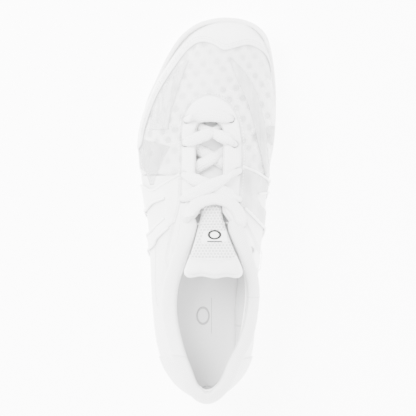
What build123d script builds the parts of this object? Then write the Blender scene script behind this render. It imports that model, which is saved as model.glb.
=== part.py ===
from build123d import *
import os
from math import pi, radians, tan

os.makedirs("parts", exist_ok=True)

# Left low-cut cheer shoe, all sizes in millimetres.
# +Y points to the toe, +X to the inner (medial) side, +Z up; the origin is under the middle of the shoe.

half_length = 127.5         # half of the upper's length, used to draw inner layers in at toe and heel
tall = 120.0                # taller than the whole shoe, for cuts that go right through
wide = 70.0                 # wider than half of the shoe
sole_reach = 135.0          # side-view lines run past the heel and the toe to this y

outer_skin = 4.6            # outside of the overlays, measured outward from the lining's inner face
bond = 0.06                 # glue line between two layers of the upper
lining_top = 1.0
core_top = 3.0
skin_top = 3.7

outsole_thickness = 3.2
toe_spring = 10.0
strobel_thickness = 1.5
insole_foam_thickness = 3.3
insole_cover_thickness = 0.8
loose_gap = 0.35            # clearance round anything that moves

collar_band = 10.0          # width of the padded ring round the opening
collar_pad = 4.2
collar_low = 38.0
cover_low = 30.0
piping_height = 0.6
piping_width = 1.2
rim_thickness = 2.4         # rubber rim round the toe
rim_start_y = 70.0
arch_front_y = -3.0         # the outsole stops here and starts again behind the arch
arch_back_y = -48.0

tongue_depth = 5.6          # lower tongue, under the lining with room for the lace
tongue_lower_thickness = 3.9
tongue_edge = 1.3           # width of the binding
tongue_thickness = 5.0
tongue_hinge_y = -0.5
tongue_hinge_z = 64.0
tongue_end_y = -45.0
tongue_end_z = 79.0

lace_diameter = 3.6
hole_radius = 2.5
hole_bend = 3.0             # bend of the lace where it goes through a hole
aglet_diameter = 2.8
aglet_length = 12.0

# Cross-sections of the outside of the upper, from heel to toe:
# y, left and right at the widest, left and right edge of the throat or collar, their height,
# rise between the edges, height of the seam with the sole
stations = [
    (-126.0, -8.0, 5.5, -3.5, 1.5, 58.0, 1.0, 21.5),
    (-122.0, -15.6, 12.8, -5.0, 3.0, 64.5, 1.2, 21.3),
    (-116.0, -23.3, 20.6, -7.0, 6.5, 65.5, 1.5, 21.0),
    (-106.0, -29.6, 26.0, -11.0, 11.2, 61.5, 2.0, 20.5),
    (-90.0, -34.5, 31.2, -17.0, 20.0, 56.0, 2.0, 19.5),
    (-65.0, -37.2, 31.4, -21.9, 26.4, 53.5, 2.0, 18.5),
    (-42.0, -39.2, 34.8, -18.0, 25.5, 62.0, 2.0, 17.5),
    (-20.0, -39.4, 36.6, -10.5, 16.5, 71.0, 2.0, 16.5),
    (0.0, -41.2, 39.4, -7.5, 11.0, 71.0, 1.5, 15.5),
    (20.0, -44.6, 40.2, -8.5, 10.7, 65.0, 1.5, 14.5),
    (40.0, -46.3, 44.0, -8.5, 10.7, 58.0, 1.5, 13.5),
    (58.0, -44.2, 45.2, -8.5, 10.7, 52.0, 1.5, 13.0),
    (74.0, -40.0, 44.6, -8.5, 11.5, 47.5, 1.5, 13.2),
    (90.0, -31.5, 43.6, -8.0, 13.0, 43.0, 1.5, 14.5),
    (106.0, -22.5, 40.2, -4.5, 15.5, 37.5, 1.3, 16.5),
    (115.0, -14.5, 36.5, -1.0, 18.0, 33.0, 1.0, 18.5),
    (121.0, -6.0, 30.0, 3.0, 18.5, 28.5, 0.8, 20.0),
    (124.0, 1.0, 22.0, 7.0, 16.0, 25.0, 0.6, 20.8),
]

# Plan outline of the sole, going round from the heel along the outer side to the toe and back
sole_outline = [
    (-1.5, -128.2), (-13.5, -124.5), (-22.5, -117.6), (-30.0, -105.7), (-34.6, -90.0), (-36.8, -70.0),
    (-37.6, -45.0), (-38.2, -20.0), (-40.0, 3.0), (-44.2, 22.0), (-46.9, 41.0), (-45.2, 57.5),
    (-41.0, 73.8), (-34.5, 88.0), (-27.6, 102.0), (-19.0, 114.8), (-8.0, 123.3), (4.0, 127.0),
    (14.0, 127.6), (24.0, 126.2), (33.4, 122.0), (40.2, 114.0), (44.0, 98.3), (45.9, 80.0),
    (46.0, 62.0), (44.4, 41.0), (40.5, 22.0), (37.2, 0.0), (34.4, -22.0), (32.2, -45.0),
    (31.0, -70.0), (31.2, -88.0), (28.4, -102.0), (22.6, -113.5), (12.8, -123.0),
]

# Plan line of the collar's edge, from the outer side of the throat round the heel to the inner side
collar_edge = [
    (-6.3, -3.5), (-11.7, -26.2), (-18.5, -44.0), (-21.9, -65.0), (-16.5, -91.5), (-7.5, -116.0),
    (-0.9, -120.7), (5.8, -117.5), (12.1, -103.7), (20.9, -87.4), (26.4, -64.9), (25.5, -42.5),
    (18.2, -24.8), (11.4, -7.8),
]

# Lace holes in pairs, outer side first, from the toe end of the throat to the collar
lace_holes = [
    ((-14.3, 58.0), (15.2, 58.5)),
    ((-15.1, 42.5), (17.5, 41.8)),
    ((-15.8, 21.4), (20.2, 24.1)),
    ((-16.5, 5.8), (20.2, 5.8)),
    ((-14.0, -8.0), (22.3, -10.5)),
    ((-19.9, -28.9), (28.2, -27.5)),
]

# Middle line of the lace from one tucked end to the other: x, y, z
lace_route = [
    (28.0, 34.0, 42.6), (26.6, 22.0, 45.6), (24.0, 11.5, 51.8), (20.2, 5.8, 57.2), (20.2, 5.8, 68.4),
    (11.0, 10.0, 71.0), (2.0, 14.0, 71.2), (-7.0, 17.8, 69.0), (-15.8, 21.4, 65.2), (-15.8, 21.4, 54.4),
    (-7.0, 26.5, 56.1), (2.0, 32.0, 58.6), (10.5, 37.2, 50.4), (17.5, 41.8, 47.9), (17.5, 41.8, 58.6),
    (9.0, 46.5, 58.8), (1.0, 50.0, 53.6), (-7.5, 54.0, 45.4), (-14.3, 58.0, 43.0), (-14.3, 58.0, 53.6),
    (0.4, 61.0, 55.4), (15.2, 58.5, 53.8), (15.2, 58.5, 43.2), (7.8, 53.2, 45.0), (2.4, 49.4, 58.4),
    (-7.0, 45.4, 58.9), (-15.1, 42.5, 58.4), (-15.1, 42.5, 47.9), (-7.0, 38.4, 50.6), (2.0, 33.4, 53.8),
    (11.0, 28.6, 54.4), (20.2, 24.1, 52.0), (20.2, 24.1, 62.8), (12.0, 19.8, 69.0), (2.0, 14.2, 75.0),
    (-7.0, 10.2, 72.8), (-16.5, 5.8, 69.4), (-16.5, 5.8, 58.9), (-16.2, -1.0, 60.6), (-14.0, -8.0, 62.4),
    (-14.0, -8.0, 73.0), (-8.5, 2.6, 72.6), (3.0, 7.0, 73.0), (13.0, 4.6, 71.6), (19.6, -2.0, 69.8),
    (22.3, -10.5, 70.2), (22.3, -10.5, 57.8), (23.2, -21.0, 56.6),
]
hole_corners = [
    point for point in lace_route[1:-1]
    if (point[0], point[1]) in [hole for pair in lace_holes for hole in pair]
]


def ground_line(lift):
    # underside of the sole: flat where it stands, turned up at the heel and the toe
    heel_end = (-sole_reach, 4.0 + lift)
    toe_end = (sole_reach, toe_spring + lift)
    Spline(heel_end, (-112, lift), tangents=((1, -0.35), (1, 0)))
    Line((-112, lift), (70, lift))
    Spline((70, lift), (102, 2.6 + lift), toe_end, tangents=((1, 0), (1, 0.35)))
    return heel_end, toe_end


def foot_line(lift):
    # seam between the sole and the upper
    points = [(-sole_reach, 21.8 + lift)]
    points += [(station[0], station[7] + lift) for station in stations[1:-1]]
    points += [(sole_reach, 23.2 + lift)]
    Spline(points)
    return points[0], points[-1]


def bumper_line(lift):
    # top of the rubber rim round the toe
    points = [
        (-sole_reach, 14 + lift), (0, 10 + lift), (70, 9.5 + lift), (92, 15 + lift), (112, 20.5 + lift),
        (sole_reach, 25 + lift),
    ]
    Spline(points)
    return points[0], points[-1]


def slab(lower, lower_lift, upper, upper_lift):
    # everything between two side-view lines, over the whole width
    with BuildPart() as block:
        with BuildSketch(Plane.YZ):
            with BuildLine():
                low_heel, low_toe = lower(lower_lift)
                high_heel, high_toe = upper(upper_lift)
                Line(low_heel, high_heel)
                Line(low_toe, high_toe)
            make_face()
        extrude(amount=wide, both=True)
    return block.part


def moved(points, distance):
    # the points of a closed line, each moved to the right of its direction of travel
    result = []
    for before, here, after in zip(points[-1:] + points[:-1], points, points[1:] + points[:1]):
        along = Vector(after[0] - before[0], after[1] - before[1]).normalized()
        result.append((here[0] + distance * along.Y, here[1] - distance * along.X))
    return result


def outline_prism(inset):
    # everything inside the sole's outline, which is drawn clockwise
    with BuildPart() as block:
        with BuildSketch():
            with BuildLine():
                Spline(moved(sole_outline, inset), periodic=True)
            make_face()
        extrude(amount=tall)
    return block.part


def last_body(level, chosen=stations):
    # inside of one layer of the upper, level millimetres outside the lining's inner face
    depth = outer_skin - level
    shrink = (half_length - depth) / half_length
    with BuildPart() as block:
        for y, left, right, edge_left, edge_right, edge_z, rise, base in chosen:
            wall_left = left + depth
            wall_right = right - depth
            inner_left = max(edge_left, wall_left + 1)
            inner_right = min(edge_right, wall_right - 1)
            top = edge_z - depth
            bottom = base - 3 - depth
            belly = base + 0.30 * (top - base)
            shoulder = base + 0.78 * (top - base)
            shoulder_left = wall_left + 0.36 * (inner_left - wall_left)
            shoulder_right = wall_right + 0.36 * (inner_right - wall_right)
            with BuildSketch(Plane.XZ.offset(-y * shrink)):
                with BuildLine():
                    Spline(
                        (wall_left + 1.2, bottom),
                        (wall_left, belly),
                        (shoulder_left, shoulder),
                        (inner_left, top),
                        ((inner_left + inner_right) / 2, top + rise),
                        (inner_right, top),
                        (shoulder_right, shoulder),
                        (wall_right, belly),
                        (wall_right - 1.2, bottom),
                    )
                    Line((wall_right - 1.2, bottom), (wall_left + 1.2, bottom))
                make_face()
        loft()
    return block.part


def mouth_prism():
    # throat slot and foot opening
    with BuildPart() as block:
        with BuildSketch():
            with BuildLine():
                Spline((-8.5, 12), *collar_edge, (10.7, 12))
                Line((10.7, 12), (10.7, 50))
                ThreePointArc((10.7, 50), (1.1, 58.6), (-8.5, 50))
                Line((-8.5, 50), (-8.5, 12))
            make_face()
        extrude(amount=tall)
    return block.part


def ring_prism(inner, outer, low):
    # the band beside the collar's edge, between two distances from it, from the height low upwards
    with BuildPart() as block:
        with BuildSketch(Plane.XY.offset(low)):
            with BuildLine():
                near = moved(collar_edge, inner)[2:-2]
                far = moved(collar_edge, outer)[2:-2]
                Spline(near)
                Spline(far)
                Line(near[0], far[0])
                Line(near[-1], far[-1])
            make_face()
        extrude(amount=tall)
    return block.part


def plan_block(points, low=0.0):
    # straight-sided plan region from the height low upwards
    with BuildPart() as block:
        with BuildSketch(Plane.XY.offset(low)):
            with BuildLine():
                Polyline(points, close=True)
            make_face()
        extrude(amount=tall)
    return block.part


def curved_block(front, back):
    # plan region between two smooth lines that start and end beside each other
    with BuildPart() as block:
        with BuildSketch():
            with BuildLine():
                Spline(front)
                Spline(back)
                Line(front[0], back[0])
                Line(front[-1], back[-1])
            make_face()
        extrude(amount=tall)
    return block.part


def layer(inner_level, outer_level):
    # one layer of the upper, open at the sole and at the mouth
    with BuildPart() as shell:
        add(last_body(outer_level))
        add(last_body(inner_level), mode=Mode.SUBTRACT)
        add(below_foot, mode=Mode.SUBTRACT)
        add(mouth, mode=Mode.SUBTRACT)
        add(holes, mode=Mode.SUBTRACT)
    return shell.part


def lace_hole_prisms():
    # punched lace holes, six on each side of the throat
    with BuildPart() as block:
        with BuildSketch():
            with Locations([hole for pair in lace_holes for hole in pair]):
                Circle(hole_radius)
        extrude(amount=tall)
    return block.part


def finish(piece, name):
    piece.part.label = name
    export_step(piece.part, f"parts/{name}.step")
    print(name, len(piece.part.solids()))


# ---- shared cutting bodies ----
below_foot = slab(ground_line, -5, foot_line, bond)
mouth = mouth_prism()
holes = lace_hole_prisms()
outline = outline_prism(0)

quarter_front_y = 22.0
puff_y = 98.0
counter_front_y = -78.0
heel_panel_y = -98.0
counter_height = 48.0

front_half = plan_block([(-wide, quarter_front_y), (wide, quarter_front_y), (wide, 150), (-wide, 150)])
toe_end = plan_block([(-wide, puff_y), (wide, puff_y), (wide, 150), (-wide, 150)])
heel_end = plan_block([(-wide, -150), (wide, -150), (wide, heel_panel_y), (-wide, heel_panel_y)])
counter_space = plan_block([(-wide, -150), (wide, -150), (wide, counter_front_y), (-wide, counter_front_y)])
above_counter = plan_block([(-wide, -150), (wide, -150), (wide, 150), (-wide, 150)], counter_height)
side_blocks = {
    "lateral": plan_block([(-wide, -150), (0, -150), (0, quarter_front_y), (-wide, quarter_front_y)]),
    "medial": plan_block([(0, -150), (wide, -150), (wide, quarter_front_y), (0, quarter_front_y)]),
}

# rear edge of the toe cap, a double hump that runs down the outer side as a rand
cap_edge = [
    (-60, 36), (-45.7, 41), (-42.3, 54.7), (-34.2, 76.5), (-20.6, 97.6), (-7, 110.5), (10.7, 104.7),
    (27, 108.5), (40, 102.7), (45.4, 90), (60, 74),
]
cap_space = curved_block(cap_edge, [(-60, 150), (60, 150)])

# ---- the four layers of the upper, from the foot outwards ----
lining_layer = layer(0, lining_top)
core_layer = layer(lining_top + bond, core_top)
skin_layer = layer(core_top + bond, skin_top)
overlay_layer = layer(skin_top + bond, outer_skin)

# ---- linings ----
with BuildPart() as vamp_lining:
    add(lining_layer)
    add(front_half, mode=Mode.INTERSECT)
finish(vamp_lining, "vamp_lining")

with BuildPart() as heel_lining:
    add(lining_layer)
    add(counter_space, mode=Mode.INTERSECT)
finish(heel_lining, "heel_lining")

for side, side_block in side_blocks.items():
    with BuildPart() as quarter_lining:
        add(lining_layer)
        add(side_block, mode=Mode.INTERSECT)
        add(counter_space, mode=Mode.SUBTRACT)
    finish(quarter_lining, f"quarter_lining_{side}")

# ---- foam core, toe puff and heel counter ----
with BuildPart() as toe_puff:
    add(core_layer)
    add(toe_end, mode=Mode.INTERSECT)
finish(toe_puff, "toe_puff")

with BuildPart() as vamp_foam:
    add(core_layer)
    add(front_half, mode=Mode.INTERSECT)
    add(toe_end, mode=Mode.SUBTRACT)
finish(vamp_foam, "vamp_foam")

with BuildPart() as heel_counter:
    add(core_layer)
    add(counter_space, mode=Mode.INTERSECT)
    add(above_counter, mode=Mode.SUBTRACT)
finish(heel_counter, "heel_counter")

for side, side_block in side_blocks.items():
    with BuildPart() as quarter_foam:
        add(core_layer)
        add(side_block, mode=Mode.INTERSECT)
        add(heel_counter.part, mode=Mode.SUBTRACT)
    finish(quarter_foam, f"quarter_foam_{side}")

# ---- thin outer skins ----
with BuildPart() as vamp_film:
    add(skin_layer)
    add(front_half, mode=Mode.INTERSECT)
finish(vamp_film, "vamp_film")

for side, side_block in side_blocks.items():
    with BuildPart() as quarter_skin:
        add(skin_layer)
        add(side_block, mode=Mode.INTERSECT)
    finish(quarter_skin, f"quarter_skin_{side}")

# ---- overlays ----
with BuildPart() as toe_cap:
    add(overlay_layer)
    add(cap_space, mode=Mode.INTERSECT)
finish(toe_cap, "toe_cap")

spear_spaces = {
    "medial": curved_block(
        [(14.1, 99), (18.2, 88), (27.7, 66), (33.2, 45), (39.3, 21.4), (44, 4)],
        [(14.8, 99), (22, 92), (33.2, 76.5), (37.9, 58), (41, 35.7), (46, 4)],
    ),
    "lateral": curved_block(
        [(-14.2, 98), (-26, 86), (-33, 76), (-37, 66), (-39, 56)],
        [(-13.6, 98), (-17, 88), (-19.9, 78), (-24, 64), (-26, 54)],
    ),
}
eyestay_space = plan_block(
    [
        (-17.2, 52), (-14, 64), (-8, 71), (0.5, 74), (8.7, 72.4), (16, 66), (20.2, 58), (22, 44), (22, 30),
        (20.9, 10), (21.5, -6), (27.5, -16), (33, -32), (32, -38), (22, -38), (16, -20), (0, -20),
        (-10, -20), (-14, -38), (-24, -38), (-25.5, -28), (-22, -10), (-18, 6), (-17.6, 30),
    ]
)
overlay_rest = overlay_layer - cap_space
with BuildPart() as eyestay:
    add(overlay_rest)
    add(eyestay_space, mode=Mode.INTERSECT)
finish(eyestay, "eyestay")

for side, spear_space in spear_spaces.items():
    with BuildPart() as spear:
        add(overlay_rest)
        add(spear_space, mode=Mode.INTERSECT)
    finish(spear, f"spear_overlay_{side}")

strap_space = {
    "lateral": curved_block(
        [(-60, 24), (-45, 15), (-36.9, 11.8), (-28.7, 16), (-16, 23)],
        [(-60, -42), (-37, -26), (-33.5, -19.4), (-26, -13.5), (-16, -4)],
    ) - curved_block(
        [(-60, -8), (-42, -2.6), (-36.9, 3.4), (-27, 7)],
        [(-60, -32), (-38.9, -20.7), (-35.5, -13.3), (-27, -5.5)],
    ),
    "medial": curved_block(
        [(20.5, 27.6), (31.8, 23.5), (40.6, 18.6), (60, 10)],
        [(20.5, 1), (28, -3.7), (37.9, -13.3), (60, -32)],
    ) - plan_block([(32.5, 9), (60, 9), (60, -8), (36.5, 0.3)]),
}
for side in side_blocks:
    with BuildPart() as strap:
        add(overlay_rest)
        add(strap_space[side], mode=Mode.INTERSECT)
        add(eyestay_space, mode=Mode.SUBTRACT)
        add(spear_spaces[side], mode=Mode.SUBTRACT)
    finish(strap, f"midfoot_strap_{side}")

with BuildPart() as heel_panel:
    add(overlay_layer)
    add(heel_end, mode=Mode.INTERSECT)
finish(heel_panel, "heel_panel")

cover_ring = ring_prism(0.3, collar_band, cover_low)
for side, side_block in side_blocks.items():
    with BuildPart() as collar_cover:
        add(overlay_layer)
        add(side_block, mode=Mode.INTERSECT)
        add(heel_end, mode=Mode.SUBTRACT)
        add(cover_ring, mode=Mode.INTERSECT)
    finish(collar_cover, f"collar_cover_{side}")

# ---- raised piping along the straps ----
piping_layer = layer(outer_skin + bond, outer_skin + piping_height)
piping_lines = {
    "lateral": [
        [(-60, 24), (-45, 15), (-36.9, 11.8), (-28.7, 16), (-18.5, 21.6)],
        [(-60, -8), (-42, -2.6), (-36.9, 3.4), (-27, 7)],
        [(-60, -33), (-38.9, -21.7), (-35.5, -14.3), (-27, -6.5)],
        [(-60, -42), (-37, -26), (-33.5, -19.4), (-26, -13.5)],
    ],
    "medial": [
        [(22.6, 27.2), (31.8, 23.5), (40.6, 18.6), (60, 10)],
        [(31, 9.6), (36, 9.9), (60, 10.4)],
        [(24, -0.6), (28, -3.7), (37.9, -13.3), (60, -32)],
    ],
}
for side, lines in piping_lines.items():
    with BuildPart() as piping:
        for line in lines:
            ridge = curved_block(line, [(x, y - piping_width) for x, y in line])
            add(piping_layer & ridge)
    finish(piping, f"strap_piping_{side}")

# ---- padded collar ----
inner_stations = stations[1:10]
collar_ring = ring_prism(0.3, collar_band, collar_low)
foot_room = last_body(-0.1)
for name, inner_level, outer_level in (
    ("collar_foam", -collar_pad, -0.2),
    ("collar_lining", -collar_pad - 0.9, -collar_pad - bond),
):
    with BuildPart() as collar:
        add(last_body(outer_level, inner_stations))
        add(last_body(inner_level, inner_stations), mode=Mode.SUBTRACT)
        add(collar_ring, mode=Mode.INTERSECT)
        add(foot_room, mode=Mode.INTERSECT)
    finish(collar, name)

# ---- tongue: lower part under the lacing, padded top that folds up ----
tongue_lower_space = plan_block([(-20, 2.6), (-20, 58), (-12, 67), (12, 67), (20.5, 58), (20.5, 2.6)], 30)
with BuildPart() as tongue_lower:
    add(last_body(-tongue_depth, stations[7:14]))
    add(last_body(-tongue_depth - tongue_lower_thickness, stations[7:14]), mode=Mode.SUBTRACT)
    add(tongue_lower_space, mode=Mode.INTERSECT)
finish(tongue_lower, "tongue_lower")

slope = Vector(0, tongue_end_y - tongue_hinge_y, tongue_end_z - tongue_hinge_z).normalized()
upward = Vector(0, -slope.Z, slope.Y) * -1
hinge = Vector(0, tongue_hinge_y, tongue_hinge_z)
tongue_length = (tongue_hinge_y - tongue_end_y) / -slope.Y


def tongue_plate(low, high, start):
    # slab along the tongue between two heights over its middle plane, from start along its length
    with BuildPart() as block:
        with BuildSketch(Plane.YZ):
            with BuildLine():
                corners = [
                    hinge + slope * start + upward * low,
                    hinge + slope * tongue_length + upward * low,
                    hinge + slope * tongue_length + upward * high,
                    hinge + slope * start + upward * high,
                ]
                Polyline([(corner.Y, corner.Z) for corner in corners], close=True)
            make_face()
        extrude(amount=wide, both=True)
    return block.part


def tongue_outline(inset):
    with BuildPart() as block:
        with BuildSketch():
            with BuildLine():
                Polyline(
                    (-4.6 + inset, 6),
                    (-4.6 + inset, -3),
                    (-9.8 + inset, -26),
                    (-17.0 + inset, -43 + inset),
                    (24.0 - inset, -43 + inset),
                    (16.2 - inset, -24.8),
                    (9.4 - inset, -6),
                    (9.4 - inset, 6),
                    close=True,
                )
            make_face()
        extrude(amount=tall)
    return block.part


half_tongue = tongue_thickness / 2
with BuildPart() as tongue_pad:
    add(tongue_plate(-half_tongue, half_tongue, 0))
    with BuildSketch(Plane.YZ):
        with Locations((tongue_hinge_y, tongue_hinge_z)):
            Circle(half_tongue)
    extrude(amount=wide, both=True)
    add(tongue_outline(tongue_edge), mode=Mode.INTERSECT)
finish(tongue_pad, "tongue_pad")

with BuildPart() as tongue_mesh:
    add(tongue_plate(half_tongue + bond, half_tongue + 0.6, 1.5))
    add(tongue_outline(tongue_edge), mode=Mode.INTERSECT)
finish(tongue_mesh, "tongue_mesh")

with BuildPart() as tongue_binding:
    add(tongue_plate(-half_tongue, half_tongue + 0.6, 5))
    add(tongue_outline(0), mode=Mode.INTERSECT)
    add(tongue_outline(tongue_edge - bond), mode=Mode.SUBTRACT)
finish(tongue_binding, "tongue_binding")

with BuildPart() as tongue_label:
    add(tongue_plate(half_tongue + 0.6 + bond, half_tongue + 1.2, 1.5))
    add(plan_block([(-5, -15), (-7, -24), (13, -24), (11, -15)]), mode=Mode.INTERSECT)
finish(tongue_label, "tongue_label")

# ---- lasting board and loose insole ----
board_space = outline_prism(6.0) & last_body(-0.1)
with BuildPart() as strobel_board:
    add(board_space)
    add(slab(foot_line, bond, foot_line, strobel_thickness), mode=Mode.INTERSECT)
finish(strobel_board, "strobel_board")

insole_low = strobel_thickness + loose_gap
insole_mid = insole_low + insole_foam_thickness
insole_space = outline_prism(9.0) & scale(last_body(-0.1), by=0.985)
for name, low, high in (
    ("insole_foam", insole_low, insole_mid),
    ("insole_cover", insole_mid + bond, insole_mid + insole_cover_thickness),
):
    with BuildPart() as insole:
        add(insole_space)
        add(slab(foot_line, low, foot_line, high), mode=Mode.INTERSECT)
    finish(insole, name)

# ---- sole ----
rim_space = plan_block([(-wide, rim_start_y), (wide, rim_start_y), (wide, 150), (-wide, 150)])
with BuildPart() as toe_bumper:
    add(outline)
    add(outline_prism(rim_thickness), mode=Mode.SUBTRACT)
    add(slab(ground_line, outsole_thickness, bumper_line, 0), mode=Mode.INTERSECT)
    add(rim_space, mode=Mode.INTERSECT)
    add(last_body(outer_skin + 0.1), mode=Mode.SUBTRACT)
finish(toe_bumper, "toe_bumper")

with BuildPart() as midsole:
    add(outline_prism(0.8))
    add(slab(ground_line, outsole_thickness, foot_line, 0), mode=Mode.INTERSECT)
    add(rim_space - outline_prism(rim_thickness + bond), mode=Mode.SUBTRACT)
    # finger grooves for lifting grips, on both sides of the arch
    for y in range(-62, -14, 8):
        with BuildSketch(Plane.XY.offset(outsole_thickness + 3)):
            with Locations((-38.6, y), (33.6, y)):
                Rectangle(5, 2.4)
        extrude(amount=9, mode=Mode.SUBTRACT)
finish(midsole, "midsole")

with BuildPart() as tread:
    add(outline)
    add(slab(ground_line, 0, ground_line, outsole_thickness - bond), mode=Mode.INTERSECT)
    # flex grooves
    with BuildSketch(Plane.XY.offset(-1)):
        with Locations((0, -100), (0, -84), (0, -68), (0, 12), (0, 26), (0, 40), (0, 54), (0, 68)):
            Rectangle(2 * wide, 1.8)
    extrude(amount=2.2, mode=Mode.SUBTRACT)
for name, front, back in (("outsole_forefoot", 150, arch_front_y), ("outsole_heel", arch_back_y, -150)):
    with BuildPart() as outsole:
        add(tread.part)
        add(plan_block([(-wide, back), (wide, back), (wide, front), (-wide, front)], -1), mode=Mode.INTERSECT)
    finish(outsole, name)

with BuildPart() as midfoot_shank:
    add(outline_prism(6))
    add(slab(ground_line, 1.4, ground_line, outsole_thickness - bond), mode=Mode.INTERSECT)
    add(plan_block([(-wide, arch_back_y + 1), (wide, arch_back_y + 1), (wide, arch_front_y - 1),
                    (-wide, arch_front_y - 1)]), mode=Mode.INTERSECT)
finish(midfoot_shank, "midfoot_shank")

# ---- lace and its tips ----
radii = []
for before, here, after in zip(lace_route, lace_route[1:], lace_route[2:]):
    run_in = Vector(*here) - Vector(*before)
    run_out = Vector(*after) - Vector(*here)
    half_turn = run_in.get_angle(run_out) / 2
    largest = 0.45 * min(run_in.length, run_out.length) / tan(radians(half_turn))
    radii.append(min(largest, hole_bend) if here in hole_corners else largest)
print("lace radii", [round(radius, 1) for radius in radii])
with BuildPart() as lace:
    with BuildLine() as lace_line:
        FilletPolyline(*lace_route, radius=radii)
    with BuildSketch(Plane(lace_line.line @ 0, z_dir=lace_line.line % 0)):
        Circle(lace_diameter / 2)
    sweep()
lace_length = sum(edge.length for edge in lace_line.edges())
print("lace length", round(lace_length, 1), "volume ratio",
      round(lace.part.volume / (pi * lace_diameter**2 / 4 * lace_length), 4))
finish(lace, "lace")

with BuildPart() as lace_aglets:
    for end, inward in ((lace_route[0], lace_route[1]), (lace_route[-1], lace_route[-2])):
        outward = Vector(*end) - Vector(*inward)
        with BuildSketch(Plane(Vector(*end), z_dir=outward)):
            Circle(aglet_diameter / 2)
        extrude(amount=aglet_length)
finish(lace_aglets, "lace_aglets")
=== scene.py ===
import math
import bmesh
import bpy
import numpy as np
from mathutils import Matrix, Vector, geometry, kdtree
from mathutils.bvhtree import BVHTree


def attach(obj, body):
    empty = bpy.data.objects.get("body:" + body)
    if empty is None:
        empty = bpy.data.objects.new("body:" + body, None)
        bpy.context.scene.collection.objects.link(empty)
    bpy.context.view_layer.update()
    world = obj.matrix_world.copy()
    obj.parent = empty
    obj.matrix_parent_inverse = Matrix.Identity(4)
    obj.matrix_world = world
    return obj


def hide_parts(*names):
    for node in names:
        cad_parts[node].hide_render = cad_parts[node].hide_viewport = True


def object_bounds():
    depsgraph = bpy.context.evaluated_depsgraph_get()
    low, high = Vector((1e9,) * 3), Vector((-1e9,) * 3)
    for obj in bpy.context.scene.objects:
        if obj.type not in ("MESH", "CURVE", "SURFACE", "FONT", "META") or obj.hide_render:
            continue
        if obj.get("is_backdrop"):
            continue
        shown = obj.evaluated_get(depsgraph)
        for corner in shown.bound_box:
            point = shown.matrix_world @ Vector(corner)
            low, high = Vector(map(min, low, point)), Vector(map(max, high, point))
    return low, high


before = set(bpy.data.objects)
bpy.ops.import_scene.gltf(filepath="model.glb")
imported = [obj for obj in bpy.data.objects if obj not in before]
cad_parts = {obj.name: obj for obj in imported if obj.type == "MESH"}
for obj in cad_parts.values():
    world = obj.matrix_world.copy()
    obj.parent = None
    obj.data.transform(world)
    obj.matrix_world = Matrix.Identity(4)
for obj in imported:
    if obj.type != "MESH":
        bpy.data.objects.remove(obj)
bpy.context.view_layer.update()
mm = 0.001
scene = bpy.context.scene


def clamped(value):
    return max(0.0, min(1.0, value))


def smoothLine(points, step, closed=False):
    # a Catmull-Rom line through the points, resampled evenly at about one step
    pts = np.array(points, float)
    count = len(pts)
    fine = []
    spans = count if closed else count - 1
    for k in range(spans):
        p1, p2 = pts[k], pts[(k + 1) % count]
        p0 = pts[(k - 1) % count] if closed or k > 0 else 2 * p1 - p2
        p3 = pts[(k + 2) % count] if closed or k < count - 2 else 2 * p2 - p1
        for t in np.linspace(0, 1, 16, endpoint=False):
            fine.append(0.5 * (2 * p1 + (p2 - p0) * t + (2 * p0 - 5 * p1 + 4 * p2 - p3) * t * t
                               + (3 * p1 - p0 - 3 * p2 + p3) * t ** 3))
    fine.append(pts[0] if closed else pts[-1])
    return resample(np.array(fine), step, closed)


def resample(line, step, closed=False):
    gaps = np.linalg.norm(np.diff(line, axis=0), axis=1)
    run = np.concatenate([[0], np.cumsum(gaps)])
    pieces = max(3, int(round(run[-1] / step)))
    marks = np.linspace(0, run[-1], pieces + 1)
    out = np.stack([np.interp(marks, run, line[:, k]) for k in range(line.shape[1])], axis=1)
    return out[:-1] if closed else out


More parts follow.
